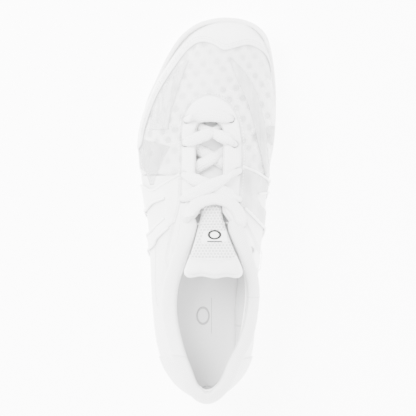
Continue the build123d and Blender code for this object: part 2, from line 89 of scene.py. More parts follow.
# Going round from the back of the heel along the outer side: seam point x, y on the sole, point x, y of
# the throat or collar edge, both heights, belly height, and where the shoulder sits (reach, height)
rims = [
    (-1.5, -125.6, -0.9, -120.7, 21.5, 65.5, 0.34, 0.30, 0.72),
    (-13.0, -121.9, -4.5, -119.0, 21.3, 65.5, 0.34, 0.30, 0.72),
    (-21.4, -115.4, -7.5, -116.0, 21.0, 64.5, 0.33, 0.32, 0.72),
    (-28.2, -104.6, -11.2, -105.5, 20.5, 61.0, 0.32, 0.34, 0.74),
    (-32.9, -90.0, -16.8, -91.0, 19.5, 56.5, 0.30, 0.36, 0.74),
    (-35.4, -70.0, -21.3, -70.0, 18.6, 53.5, 0.30, 0.36, 0.74),
    (-36.6, -50.0, -20.4, -52.0, 17.8, 57.0, 0.30, 0.36, 0.75),
    (-37.3, -30.0, -14.8, -35.0, 17.0, 65.5, 0.30, 0.38, 0.77),
    (-38.6, -8.0, -8.6, -14.0, 16.0, 71.0, 0.30, 0.38, 0.78),
    (-41.6, 12.0, -7.0, 2.0, 15.0, 70.4, 0.30, 0.38, 0.78),
    (-44.4, 30.0, -8.5, 20.0, 14.0, 64.3, 0.29, 0.36, 0.77),
    (-44.5, 46.0, -8.5, 36.0, 13.3, 58.7, 0.27, 0.34, 0.76),
    (-42.0, 60.0, -8.5, 50.0, 13.0, 54.1, 0.25, 0.32, 0.74),
    (-36.8, 75.0, -6.6, 55.6, 13.2, 52.6, 0.21, 0.30, 0.70),
    (-29.4, 90.0, -4.0, 57.5, 14.6, 52.2, 0.17, 0.28, 0.64),
    (-20.4, 104.6, -2.0, 58.4, 16.6, 52.1, 0.14, 0.26, 0.58),
    (-9.6, 116.4, -0.3, 58.7, 19.0, 52.0, 0.12, 0.26, 0.54),
    (3.0, 122.4, 1.1, 58.8, 20.6, 52.0, 0.12, 0.26, 0.52),
    (14.0, 123.6, 2.4, 58.7, 20.8, 52.0, 0.12, 0.26, 0.52),
    (25.0, 121.6, 3.8, 58.2, 20.3, 52.1, 0.12, 0.26, 0.53),
    (34.0, 114.8, 5.4, 57.2, 18.6, 52.2, 0.13, 0.26, 0.56),
    (39.2, 104.4, 7.2, 55.6, 16.4, 52.3, 0.16, 0.27, 0.60),
    (42.0, 91.0, 8.8, 54.0, 14.8, 52.6, 0.19, 0.29, 0.66),
    (43.4, 76.0, 10.2, 51.6, 13.3, 53.4, 0.23, 0.31, 0.71),
    (43.6, 60.0, 10.7, 47.6, 13.0, 54.8, 0.26, 0.33, 0.74),
    (42.2, 44.0, 10.7, 36.0, 13.4, 58.7, 0.28, 0.35, 0.76),
    (39.4, 26.0, 10.7, 20.0, 14.2, 64.3, 0.30, 0.37, 0.77),
    (37.5, 8.0, 10.8, 4.0, 15.1, 69.9, 0.30, 0.38, 0.78),
    (35.5, -12.0, 14.0, -14.0, 16.1, 71.0, 0.30, 0.38, 0.78),
    (33.3, -32.0, 20.8, -31.0, 17.1, 67.5, 0.30, 0.38, 0.78),
    (31.5, -52.0, 26.3, -52.0, 17.9, 57.0, 0.30, 0.38, 0.76),
    (30.0, -70.0, 25.5, -70.0, 18.7, 53.5, 0.30, 0.38, 0.74),
    (29.5, -88.0, 20.4, -88.0, 19.4, 56.0, 0.31, 0.36, 0.74),
    (26.9, -101.0, 13.3, -101.0, 20.2, 59.6, 0.32, 0.34, 0.73),
    (21.1, -112.2, 8.9, -112.5, 20.8, 63.4, 0.33, 0.32, 0.72),
    (11.4, -121.0, 4.0, -119.2, 21.3, 65.5, 0.34, 0.30, 0.72),
]
upperShape = {"around": 460, "across": 84, "bulge": 2.3, "toeBulge": 0.4, "frontStart": 60, "frontLength": 50,
              "crown": 0.64}


def buildUpper(shape):
    # rows of points round the shoe, from the sole seam (first) to the throat and collar edge (last)
    ring = smoothLine(rims, 1.0, closed=True)
    plan = smoothLine(rims, 0.7, closed=True)
    gaps = np.linalg.norm(np.diff(np.vstack([plan[:, :2], plan[:1, :2]]), axis=0), axis=1)
    run = np.concatenate([[0], np.cumsum(gaps)])
    marks = np.linspace(0, run[-1], shape["around"], endpoint=False)
    closedPlan = np.vstack([plan, plan[:1]])
    ring = np.stack([np.interp(marks, run, closedPlan[:, k]) for k in range(9)], axis=1)
    solid = np.zeros((shape["around"], shape["across"], 3))
    flat = np.zeros((shape["around"], shape["across"], 2))
    for i, (fx, fy, ex, ey, z0, z1, belly, reach, lift) in enumerate(ring):
        foot, edge = np.array([fx, fy]), np.array([ex, ey])
        across = edge - foot
        span = np.linalg.norm(across)
        across /= span
        forward = clamped((fy - shape["frontStart"]) / shape["frontLength"])
        bulge = shape["bulge"] + (shape["toeBulge"] - shape["bulge"]) * forward
        height = z1 - z0
        knots = [
            (0.0, 0.0), (-bulge, belly * height),
            (-bulge + reach * (span + bulge), lift * height),
            (-bulge + (1 + reach) / 2 * (span + bulge), (lift + (1 - lift) * shape["crown"]) * height),
            (span, height),
        ]
        line = resample(smoothLine(knots, 0.4), 1.0)
        gaps = np.linalg.norm(np.diff(line, axis=0), axis=1)
        run = np.concatenate([[0], np.cumsum(gaps)])
        marks = np.linspace(0, run[-1], shape["across"])
        reachOut = np.interp(marks, run, line[:, 0])
        rise = np.interp(marks, run, line[:, 1])
        low = int(np.argmin(reachOut))
        unrolled = reachOut.copy()
        unrolled[:low] = reachOut[low] - (marks[low] - marks[:low])
        solid[i, :, :2] = foot + reachOut[:, None] * across
        solid[i, :, 2] = z0 + rise
        flat[i] = foot + unrolled[:, None] * across
    return solid, flat


upper, unrolled = buildUpper(upperShape)
for _ in range(3):   # evens out the rows from rim to rim
    upper = (np.roll(upper, 1, 0) + 2 * upper + np.roll(upper, -1, 0)) / 4
    unrolled = (np.roll(unrolled, 1, 0) + 2 * unrolled + np.roll(unrolled, -1, 0)) / 4
around = np.roll(upper, -1, 0) - np.roll(upper, 1, 0)
across = np.gradient(upper, axis=1)
upperNormal = np.cross(across, around)
upperNormal /= np.linalg.norm(upperNormal, axis=2, keepdims=True)
if upperNormal[0, 20, 1] > 0:   # the back of the heel faces backwards
    upperNormal = -upperNormal
rows, cols = upper.shape[:2]
triangles = []
for i in range(rows):
    j = (i + 1) % rows
    for k in range(cols - 1):
        triangles.append((i * cols + k, j * cols + k, j * cols + k + 1))
        triangles.append((i * cols + k, j * cols + k + 1, i * cols + k + 1))
flatPoints = [(x, y, 0.0) for x, y in unrolled.reshape(-1, 2)]
flatTree = BVHTree.FromPolygons(flatPoints, triangles)
solidPoints = upper.reshape(-1, 3)
solidNormals = upperNormal.reshape(-1, 3)
flatArray = unrolled.reshape(-1, 2)
footLoop = unrolled[:, 0]
mouthLoop = unrolled[:, -1]
print("upper surface ready")


def onUpper(x, y):
    # the point and outward direction of the upper's skin that lie under a point of the unrolled plan
    place, _, index, _ = flatTree.find_nearest((x, y, 0.0))
    a, b, c = triangles[index]
    pa, pb, pc = flatArray[a], flatArray[b], flatArray[c]
    det = (pb[1] - pc[1]) * (pa[0] - pc[0]) + (pc[0] - pb[0]) * (pa[1] - pc[1])
    if abs(det) < 1e-12:
        return solidPoints[a], solidNormals[a]
    u = ((pb[1] - pc[1]) * (place.x - pc[0]) + (pc[0] - pb[0]) * (place.y - pc[1])) / det
    v = ((pc[1] - pa[1]) * (place.x - pc[0]) + (pa[0] - pc[0]) * (place.y - pc[1])) / det
    w = 1 - u - v
    point = u * solidPoints[a] + v * solidPoints[b] + w * solidPoints[c]
    out = u * solidNormals[a] + v * solidNormals[b] + w * solidNormals[c]
    return point, out / np.linalg.norm(out)


def placed(name, data):
    made = bpy.data.objects.new(name, data)
    scene.collection.objects.link(made)
    return made


def newPiece(name, points, faces, material, plan=None, rim=None):
    # a mesh from millimetre points; plan gives each point's place on the unrolled piece,
    # rim its nearness to an edge
    mesh = bpy.data.meshes.new(name)
    mesh.from_pydata([tuple(float(v) * mm for v in p) for p in points], [], [tuple(f) for f in faces])
    mesh.materials.append(material)
    if plan is not None:
        layer = mesh.uv_layers.new(name="plan")
        corner = np.zeros(len(mesh.loops), np.int32)
        mesh.loops.foreach_get("vertex_index", corner)
        spots = np.array([(float(p[0]) * mm, float(p[1]) * mm) for p in plan])
        layer.data.foreach_set("uv", spots[corner].astype(np.float32).ravel())
    if rim is not None:
        band = mesh.attributes.new("rim", "FLOAT", "POINT")
        band.data.foreach_set("value", np.array(rim, np.float32))
    piece = placed(name, mesh)
    turnOutward(piece)
    mesh.shade_smooth()
    return piece


def turnOutward(piece):
    work = bmesh.new()
    work.from_mesh(piece.data)
    bmesh.ops.recalc_face_normals(work, faces=work.faces)
    work.to_mesh(piece.data)
    work.free()


def turning(loop):
    # twice the area, positive where the loop runs anticlockwise
    after = np.roll(loop, -1, axis=0)
    return float(np.sum(loop[:, 0] * after[:, 1] - after[:, 0] * loop[:, 1]))


def patch(name, material, inside, outside=(), low=-0.6, high=0.0, spacing=1.6, soft=0.8, relief=None,
          surface=onUpper, clip=True, hem=None):
    # a thin closed piece on a surface: the part of its plan that lies in every inside loop and in no
    # outside loop, between two heights over the surface, with its upper edges rounded over a soft width
    loops = [np.array(loop, float) for loop in inside]
    wanted = set(range(len(loops)))
    if clip:
        wanted.add(len(loops))
        loops.append(footLoop[::2])
        outside = [mouthLoop if hem is None else hem, *outside]
    banned = set(range(len(loops), len(loops) + len(outside)))
    loops += [np.array(loop, float) for loop in outside]
    loops = [loop if turning(loop) > 0 else loop[::-1] for loop in loops]
    points, faces = [], []
    edgeTree = kdtree.KDTree(sum(len(loop) for loop in loops))
    for loop in loops:
        start = len(points)
        for x, y in loop:
            edgeTree.insert((x, y, 0), len(points))
            points.append(Vector((x, y)))
        faces.append(list(range(start, start + len(loop))))
    edgeTree.balance()
    least = np.max([loops[k].min(0) for k in wanted], axis=0)
    most = np.min([loops[k].max(0) for k in wanted], axis=0)
    for row, y in enumerate(np.arange(least[1], most[1], spacing * 0.866)):
        for x in np.arange(least[0] + (spacing / 2 if row % 2 else 0), most[0], spacing):
            if edgeTree.find((x, y, 0))[2] > 0.55 * spacing:
                points.append(Vector((x, y)))
    spots, _, tris, _, _, owners = geometry.delaunay_2d_cdt(points, [], faces, 0, 1e-5)
    kept = [tri for tri, owner in zip(tris, owners)
            if len(tri) == 3 and wanted <= set(owner) and not banned & set(owner)]
    used = sorted({v for tri in kept for v in tri})
    number = {v: k for k, v in enumerate(used)}
    kept = [[number[v] for v in tri] for tri in kept]
    plan = [spots[v] for v in used]
    sides = {(a, b) for tri in kept for a, b in zip(tri, tri[1:] + tri[:1])}
    border = [(a, b) for a, b in sides if (b, a) not in sides]
    rimTree = kdtree.KDTree(max(1, len(border)))
    for k, (a, b) in enumerate(border):
        rimTree.insert((plan[a].x, plan[a].y, 0), k)
    rimTree.balance()
    top, bottom, nearness = [], [], []
    for x, y in plan:
        point, out = surface(x, y)
        gap = rimTree.find((x, y, 0))[2]
        fall = max(0.0, 1 - gap / soft) if soft else 0
        height = high - (high - low) * 0.7 * (1 - math.sqrt(max(0.0, 1 - fall * fall)))
        if relief:
            height += relief(x, y) * (1 - fall)
        top.append(point + out * height)
        bottom.append(point + out * low)
        nearness.append(max(0.0, 1 - gap / 3))
    total = len(plan)
    shell = [tuple(tri) for tri in kept] + [tuple(v + total for v in reversed(tri)) for tri in kept]
    shell += [(b, a, a + total) for a, b in border] + [(b, a + total, b + total) for a, b in border]
    return newPiece(name, top + bottom, shell, material, plan=plan + plan, rim=nearness + nearness)


def joined(name, parts):
    work = bmesh.new()
    for part in parts:
        work.from_mesh(part.data)
    mesh = bpy.data.meshes.new(name)
    work.to_mesh(mesh)
    work.free()
    mesh.materials.append(parts[0].data.materials[0])
    for part in parts:
        bpy.data.objects.remove(part)
    return placed(name, mesh)


def tubeFaces(rings, count):
    # the side faces between rings of points, and a cap at each end
    faces = []
    for k in range(rings - 1):
        for j in range(count):
            a, b = k * count + j, k * count + (j + 1) % count
            faces.append((a, b, b + count, a + count))
    faces.append(tuple(range(count)))
    faces.append(tuple(range((rings - 1) * count, rings * count))[::-1])
    return faces


def finishPiece(piece, body, slot, *nodes):
    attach(piece, body)
    if nodes:
        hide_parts(*nodes)
    return piece


# shader node groups shared by the materials
def startGroup(name, inputs, outputs):
    tree = bpy.data.node_groups.new(name, "ShaderNodeTree")
    for label, kind, value in inputs:
        socket = tree.interface.new_socket(label, in_out="INPUT", socket_type=kind)
        if value is not None:
            socket.default_value = value
    for label in outputs:
        tree.interface.new_socket(label, in_out="OUTPUT", socket_type="NodeSocketFloat")
    return tree, tree.nodes.new("NodeGroupInput"), tree.nodes.new("NodeGroupOutput")


def feed(tree, socket, value):
    if isinstance(value, bpy.types.NodeSocket):
        tree.links.new(value, socket)
    elif value is not None:
        socket.default_value = value


def calc(tree, operation, *values, clamp=False):
    node = tree.nodes.new("ShaderNodeMath")
    node.operation = operation
    node.use_clamp = clamp
    for socket, value in zip(node.inputs, values):
        feed(tree, socket, value)
    return node.outputs[0]


def mixed(tree, first, firstShare, second, secondShare):
    # a weighted sum of two values
    parts = [calc(tree, "MULTIPLY", *pair) for pair in ((first, firstShare), (second, secondShare))]
    return calc(tree, "ADD", *parts)


def vectorCalc(tree, operation, *values):
    node = tree.nodes.new("ShaderNodeVectorMath")
    node.operation = operation
    for socket, value in zip([s for s in node.inputs if s.type == "VECTOR"], values):
        feed(tree, socket, value)
    return node.outputs["Value"] if operation in ("LENGTH", "DISTANCE") else node.outputs["Vector"]


def blendStep(tree, value, low, high):
    node = tree.nodes.new("ShaderNodeMapRange")
    node.interpolation_type = "SMOOTHSTEP"
    feed(tree, node.inputs["Value"], value)
    feed(tree, node.inputs["From Min"], low)
    feed(tree, node.inputs["From Max"], high)
    return node.outputs["Result"]


def noise(tree, vector, scale, detail, rough):
    node = tree.nodes.new("ShaderNodeTexNoise")
    feed(tree, node.inputs["Vector"], vector)
    feed(tree, node.inputs["Scale"], scale)
    node.inputs["Detail"].default_value = detail
    node.inputs["Roughness"].default_value = rough
    return node.outputs["Fac"]


vectorIn, floatIn = "NodeSocketVector", "NodeSocketFloat"

# pores and soft creases of coated leathercloth, moulded foam and rubber
grainTree, start, end = startGroup(
    "coatedGrain", [("Vector", vectorIn, None), ("Pores", floatIn, 1800.0), ("Crease", floatIn, 60.0),
                    ("Crease Depth", floatIn, 0.5)], ["Height", "Shade"])
creaseBase = noise(grainTree, start.outputs["Vector"], start.outputs["Crease"], 3.0, 0.5)
creaseFold = calc(grainTree, "ABSOLUTE", calc(grainTree, "SUBTRACT", creaseBase, 0.5))
creaseLine = calc(grainTree, "SUBTRACT", 1.0, blendStep(grainTree, creaseFold, 0.0, 0.09))
pores = noise(grainTree, start.outputs["Vector"], start.outputs["Pores"], 2.0, 0.6)
creased = calc(grainTree, "MULTIPLY", creaseLine, start.outputs["Crease Depth"])
poreHeight = calc(grainTree, "MULTIPLY", pores, 0.35)
feed(grainTree, end.inputs["Height"], calc(grainTree, "SUBTRACT", poreHeight, creased))
feed(grainTree, end.inputs["Shade"], mixed(grainTree, creaseBase, 0.7, pores, 0.3))

# rows of round cells set like a honeycomb: distance from the nearest cell's middle, as a share of the pitch
cellTree, start, end = startGroup("cellRows", [("Vector", vectorIn, None), ("Pitch", floatIn, 0.002)],
                                  ["Distance"])
spread = vectorCalc(cellTree, "DIVIDE", start.outputs["Vector"], None)
pitchTriple = cellTree.nodes.new("ShaderNodeCombineXYZ")
for socket in pitchTriple.inputs:
    feed(cellTree, socket, start.outputs["Pitch"])
cellTree.links.new(pitchTriple.outputs[0], spread.node.inputs[1])
flatSpread = vectorCalc(cellTree, "MULTIPLY", spread, (1.0, 1.0, 0.0))
ranges = []
halfRow = math.sqrt(3) / 2   # half the height of two rows, in pitches
for shift in ((0.0, 0.0, 0.0), (0.5, halfRow, 0.0)):
    moved = vectorCalc(cellTree, "ADD", flatSpread, shift)
    wrapped = cellTree.nodes.new("ShaderNodeVectorMath")
    wrapped.operation = "WRAP"
    cellTree.links.new(moved, wrapped.inputs[0])
    wrapped.inputs[1].default_value = (0.5, halfRow, 1.0)
    wrapped.inputs[2].default_value = (-0.5, -halfRow, -1.0)
    ranges.append(vectorCalc(cellTree, "LENGTH", wrapped.outputs[0]))
feed(cellTree, end.inputs["Distance"], calc(cellTree, "MINIMUM", *ranges))

# plain weave of fine threads: Height of the threads, Shade with uneven yarn
weaveTree, start, end = startGroup(
    "fineWeave", [("Vector", vectorIn, None), ("Thread", floatIn, 0.0006), ("Slub", floatIn, 0.4)],
    ["Height", "Shade"])
split = weaveTree.nodes.new("ShaderNodeSeparateXYZ")
feed(weaveTree, split.inputs[0], start.outputs["Vector"])
waves = []
for axis in (0, 1):
    phase = calc(weaveTree, "MULTIPLY", split.outputs[axis], math.pi)
    waves.append(calc(weaveTree, "SINE", calc(weaveTree, "DIVIDE", phase, start.outputs["Thread"])))
over = calc(weaveTree, "MULTIPLY", *waves)
ridge = calc(weaveTree, "MAXIMUM", *[calc(weaveTree, "ABSOLUTE", wave) for wave in waves])
slub = noise(weaveTree, start.outputs["Vector"], 900.0, 2.0, 0.6)
threads = mixed(weaveTree, over, 0.35, ridge, 0.65)
slubHeight = calc(weaveTree, "MULTIPLY", slub, start.outputs["Slub"])
feed(weaveTree, end.inputs["Height"], calc(weaveTree, "ADD", threads, slubHeight))
feed(weaveTree, end.inputs["Shade"], mixed(weaveTree, threads, 0.6, slub, 0.4))


class Finish:
    # one material being built: its tree, its shader and the coordinates its patterns read
    def __init__(self, name, rough=0.6, sheen=0.0, specular=0.4, coat=0.0):
        self.material = bpy.data.materials.new(name)
        self.material.use_nodes = True
        self.tree = self.material.node_tree
        self.shader = self.tree.nodes["Principled BSDF"]
        self.shader.inputs["Roughness"].default_value = rough
        self.shader.inputs["Sheen Weight"].default_value = sheen
        self.shader.inputs["Specular IOR Level"].default_value = specular
        self.shader.inputs["Coat Weight"].default_value = coat
        places = self.tree.nodes.new("ShaderNodeTexCoord")
        self.object, self.plan = places.outputs["Object"], places.outputs["UV"]

    def group(self, tree, **values):
        node = self.tree.nodes.new("ShaderNodeGroup")
        node.node_tree = tree
        for label, value in values.items():
            feed(self.tree, node.inputs[label.replace("_", " ")], value)
        return node.outputs

    def ramp(self, value, *stops):
        node = self.tree.nodes.new("ShaderNodeValToRGB")
        feed(self.tree, node.inputs[0], value)
        while len(node.color_ramp.elements) < len(stops):
            node.color_ramp.elements.new(0.5)
        for element, (place, color) in zip(node.color_ramp.elements, stops):
            element.position = place
            element.color = (*color, 1.0)
        return node.outputs[0]

    def toward(self, factor, base, tint):
        node = self.tree.nodes.new("ShaderNodeMix")
        node.data_type = "RGBA"
        feed(self.tree, node.inputs["Factor"], factor)
        feed(self.tree, node.inputs["A"], base)
        node.inputs["B"].default_value = (*tint, 1)
        return node.outputs["Result"]

    def worn(self, rough, shade, spread):
        return calc(self.tree, "ADD", rough - 0.08, calc(self.tree, "MULTIPLY", shade, spread))

    def rim(self):
        node = self.tree.nodes.new("ShaderNodeAttribute")
        node.attribute_name = "rim"
        return node.outputs["Fac"]

    def done(self, color=None, height=None, depth=0.0002, strength=1.0, roughness=None, alpha=None):
        feed(self.tree, self.shader.inputs["Base Color"], color)
        feed(self.tree, self.shader.inputs["Roughness"], roughness)
        feed(self.tree, self.shader.inputs["Alpha"], alpha)
        if height is not None:
            bump = self.tree.nodes.new("ShaderNodeBump")
            bump.inputs["Distance"].default_value = depth
            bump.inputs["Strength"].default_value = strength
            feed(self.tree, bump.inputs["Height"], height)
            self.tree.links.new(bump.outputs[0], self.shader.inputs["Normal"])
        return self.material


def grey(value, warm=0.0):
    return (value, value * (1 - warm * 0.3), value * (1 - warm))


def coated(name, light=0.86, crease=70.0, creaseDepth=0.5, rough=0.5, edgeShade=0.16):
    # smooth coated leathercloth with painted shade along its cut edges, a grey line standing in for the shadow
    # in the gap at the edge
    made = Finish(name, rough=rough, specular=0.35)
    grain = made.group(grainTree, Vector=made.object, Pores=1700.0, Crease=crease, Crease_Depth=creaseDepth)
    tone = made.ramp(grain["Shade"], (0.3, grey(light * 0.955, 0.006)), (0.62, grey(light, 0.002)))
    # painted shade: near the rim the colour is mixed towards grey, standing in for the shadow gap at the cut
    # edge
    line = blendStep(made.tree, made.rim(), 0.82, 1.0)
    edgeShaded = made.toward(calc(made.tree, "MULTIPLY", line, edgeShade), tone, (0.45, 0.45, 0.46))
    return made.done(edgeShaded, grain["Height"], 0.00022, 0.55, made.worn(rough, grain["Shade"], 0.18))


def woven(name, light=0.82, thread=0.0006, depth=0.00012, slub=0.4, dark=0.86):
    # plain cloth; thread is the width of one yarn, dark the share of light left between yarns
    made = Finish(name, rough=0.85, sheen=0.25, specular=0.2)
    cloth = made.group(weaveTree, Vector=made.plan, Thread=thread, Slub=slub)
    tone = made.ramp(cloth["Shade"], (0.15, grey(light * dark)), (0.75, grey(light)))
    return made.done(tone, cloth["Height"], depth, 0.8)


def airMesh(name, light=0.8, pitch=0.002, dark=0.55, hole=0.3, depth=0.0003):
    # spacer mesh: open round cells between knitted bridges, the cells painted darker as shade in their depth
    made = Finish(name, rough=0.85, sheen=0.2, specular=0.2)
    cell = made.group(cellTree, Vector=made.plan, Pitch=pitch)["Distance"]
    cloth = made.group(weaveTree, Vector=made.plan, Thread=0.00045, Slub=0.3)
    wall = blendStep(made.tree, cell, hole * 0.65, hole * 1.25)
    # painted shade: the open cells are coloured down to the dark share of the light
    tone = made.ramp(mixed(made.tree, wall, 0.85, cloth["Shade"], 0.15),
                     (0.0, grey(light * dark)), (0.95, grey(light)))
    height = calc(made.tree, "ADD", wall, calc(made.tree, "MULTIPLY", cloth["Height"], 0.15))
    return made.done(tone, height, depth, 0.9)


def moulded(name, light=0.84, rough=0.6, pores=900.0, depth=0.00025, specular=0.3):
    # foam or rubber out of a mould: fine pores, slight scuffing
    made = Finish(name, rough=rough, specular=specular)
    grain = made.group(grainTree, Vector=made.object, Pores=pores, Crease=35.0, Crease_Depth=0.06)
    tone = made.ramp(grain["Shade"], (0.3, grey(light * 0.95, 0.01)), (0.6, grey(light, 0.01)))
    return made.done(tone, grain["Height"], depth, 0.5, made.worn(rough, grain["Shade"], 0.16))


# each finish's edge value sets the strength of its painted edge shade
capLeather = coated("capLeather", light=0.88, crease=55.0, creaseDepth=0.7, rough=0.52, edgeShade=0.5)
strapLeather = coated("strapLeather", light=0.86, crease=90.0, creaseDepth=0.3, rough=0.42, edgeShade=0.3)
quarterSkin = coated("quarterSkin", light=0.80, crease=60.0, creaseDepth=0.4, rough=0.55)
pipingGloss = coated("pipingGloss", light=0.92, crease=30.0, creaseDepth=0.05, rough=0.3, edgeShade=0.0)
coreFoam = moulded("coreFoam", light=0.9, rough=0.8, pores=1400.0)
liningMesh = airMesh("liningMesh", light=0.74, pitch=0.0017, dark=0.72, hole=0.28)
collarKnit = airMesh("collarKnit", light=0.84, pitch=0.0013, dark=0.8, hole=0.26, depth=0.0002)
# painted shade: the backing is dark grey so the forefoot foam's holes show shade through the film
holeShadeBacking = woven("holeShadeBacking", light=0.42, thread=0.0008, dark=0.8)
tongueCell = airMesh("tongueCell", light=0.85, pitch=0.0022, dark=0.6, hole=0.34, depth=0.00045)
tongueCloth = woven("tongueCloth", light=0.86, thread=0.0005, depth=0.0001)
insoleCloth = woven("insoleCloth", light=0.66, thread=0.00055, slub=0.5, depth=0.00012)
insoleFoam = moulded("insoleFoam", light=0.7, rough=0.85, pores=1100.0)
boardCloth = woven("boardCloth", light=0.7, thread=0.0009)
rubberWhite = moulded("rubberWhite", light=0.86, rough=0.45, pores=700.0, specular=0.4)
evaFoam = moulded("evaFoam", light=0.86, rough=0.7, pores=1300.0)
treadRubber = moulded("treadRubber", light=0.84, rough=0.6, pores=800.0)
shankPlastic = moulded("shankPlastic", light=0.8, rough=0.32, pores=400.0, depth=0.0001, specular=0.5)
threadWhite = woven("threadWhite", light=0.9, thread=0.0003, depth=0.00006)


def film(name, light=0.9, cover=0.3, streak=0.0, edgeShade=0.0):
    # clear welded film: milky in patches, glossy, streaked where the layer below shows through,
    # with painted shade darkening its edges
    made = Finish(name, rough=0.32, specular=0.35)
    milk = noise(made.tree, made.object, 38.0, 3.0, 0.5)
    mapping = made.tree.nodes.new("ShaderNodeMapping")
    mapping.inputs["Scale"].default_value = (190.0, 34.0, 60.0)
    mapping.inputs["Rotation"].default_value = (0.0, 0.0, 0.35)
    feed(made.tree, mapping.inputs["Vector"], made.object)
    lines = noise(made.tree, mapping.outputs[0], 1.0, 4.0, 0.62)
    shade = mixed(made.tree, milk, 0.5, lines, 0.5)
    # painted shade: the rim is darkened towards grey and made more opaque, standing in for the shadow at the
    # film's edge
    edgeShadeMask = calc(made.tree, "MULTIPLY", blendStep(made.tree, made.rim(), 0.72, 0.98), edgeShade)
    streaks = calc(made.tree, "MULTIPLY", blendStep(made.tree, lines, 0.42, 0.62), streak)
    haze = 0.2
    milky = calc(made.tree, "MULTIPLY", blendStep(made.tree, milk, 0.35, 0.65), haze)
    alpha = calc(made.tree, "ADD", calc(made.tree, "ADD", cover - haze / 2, milky),
                 calc(made.tree, "ADD", streaks, edgeShadeMask), clamp=True)
    tone = made.ramp(shade, (0.3, grey(light * 0.9)), (0.62, grey(light)))
    return made.done(made.toward(edgeShadeMask, tone, (0.3, 0.3, 0.31)), shade, 0.0004, 0.3, None, alpha)


clearFilm = film("clearFilm", light=0.94, cover=0.34)
streakFilm = film("streakFilm", light=0.84, cover=0.28, streak=0.35, edgeShade=0.35)
spearFilm = film("spearFilm", light=0.84, cover=0.42, streak=0.15, edgeShade=0.6)
# painted shade: the window film is grey, standing in for the shade inside the perforated window panels
windowShadeFilm = film("windowShadeFilm", light=0.6, cover=0.26, streak=0.1, edgeShade=0.25)
strapFilm = film("strapFilm", light=0.66, cover=0.8, streak=0.1, edgeShade=0.3)
print("materials ready")


# shared outlines, in millimetres on the unrolled plan
def box2(x0, y0, x1, y1):
    return [(x0, y0), (x1, y0), (x1, y1), (x0, y1)]


def between(front, back, step=2.0):
    # the area between two smooth lines that run the same way
    return np.vstack([smoothLine(front, step), smoothLine(back, step)[::-1]])


def ribbon(line, width, step=1.5):
    # the area beside a smooth line, half the width on each side
    path = smoothLine(line, step)
    along = np.gradient(path, axis=0)
    along /= np.linalg.norm(along, axis=1, keepdims=True)
    side = np.stack([-along[:, 1], along[:, 0]], axis=1) * width / 2
    return np.vstack([path + side, (path - side)[::-1]])


def disc(x, y, radius, count=16):
    return [(x + radius * math.cos(k * 2 * math.pi / count), y + radius * math.sin(k * 2 * math.pi / count))
            for k in range(count)]


laceHoles = [((-14.3, 58.0), (15.2, 58.5)), ((-15.1, 42.5), (17.5, 41.8)), ((-15.8, 21.4), (20.2, 24.1)),
             ((-16.5, 5.8), (20.2, 5.8)), ((-14.0, -8.0), (22.3, -10.5)), ((-19.9, -28.9), (28.2, -27.5))]
holeLoops = [disc(*hole, 2.5) for pair in laceHoles for hole in pair]
tucked = unrolled[:, -1].copy()   # skins end under the collar pad, and at the throat's edge elsewhere
for i in range(rows):
    share = clamped((-2 - mouthLoop[i][1]) / 8)
    tucked[i] = unrolled[i, -1] * (1 - share) + unrolled[i, -6] * share
capEdge = [(-66, 33), (-54, 37), (-45.7, 41), (-42.3, 54.7), (-34.2, 76.5), (-20.6, 97.6), (-12.5, 107.2),
           (-5, 111), (3, 109.2), (10.7, 104.9), (18, 106.6), (27, 108.8), (35, 106), (40, 101.5), (45.4, 90),
           (56, 78), (66, 70)]
eyestayLoop = smoothLine([
    (-17.2, 50), (-15.6, 60), (-11, 68.5), (-5, 72.6), (1.2, 74), (7.5, 72.6), (14.5, 67.5), (19.5, 59),
    (21.6, 48), (22.2, 34), (21, 12), (21.4, -4), (25.5, -13), (31.5, -25), (35.5, -34), (33, -40), (26, -40),
    (18, -32), (12, -20), (2, -10), (-6, -20), (-12, -38), (-20, -42), (-26, -36), (-25.2, -26), (-21.6, -10),
    (-18, 6), (-17.4, 28)], 1.6, closed=True)
lateralSpear = between([(-14.6, 99), (-26, 87), (-34.5, 73), (-38.5, 60), (-39.5, 52)],
                       [(-13.2, 99), (-17.2, 88), (-20.6, 77), (-24.5, 64), (-26.5, 52)])
medialSpear = between([(14.2, 99.6), (18.2, 88), (27.7, 66), (33.2, 45), (38.6, 22), (42, 6)],
                      [(15.2, 99.6), (24, 90.6), (32.6, 76.5), (37.9, 58), (40.6, 36), (44.6, 6)])
frontFold = [(-66, 22), (-56, 18), (-45, 15), (-37, 11.6), (-28.7, 16)]
backFold = [(-66, -36), (-54, -34), (-45, -29.8), (-37, -25.4), (-33.5, -19.4), (-26, -12.5)]
windowFront = [(-66, -10), (-54, -6.5), (-42, -1.8), (-37, 3.2), (-28.5, 6.4)]
windowBack = [(-66, -26), (-54, -24), (-44.5, -20), (-38.5, -16), (-35.5, -12.6), (-28.5, -6.6)]
lateralStrap = between([*frontFold, (-18, 22.2), (-14, 24)], [*backFold, (-16, -5)])
lateralWindow = between(windowFront, windowBack)
medialStrap = between([(18, 28.5), (24, 27), (31.8, 23.6), (40.6, 18.6), (52, 13), (66, 8)],
                      [(18, 3), (23, 0.6), (28, -3.7), (37.9, -13.3), (50, -23), (66, -30)])
medialNotch = smoothLine([(33.4, 8.6), (44, 9.8), (66, 11), (66, -2), (50, -4), (40.6, -1.4), (36.2, 1.4)], 2.0,
                         closed=True)
print("outlines ready")

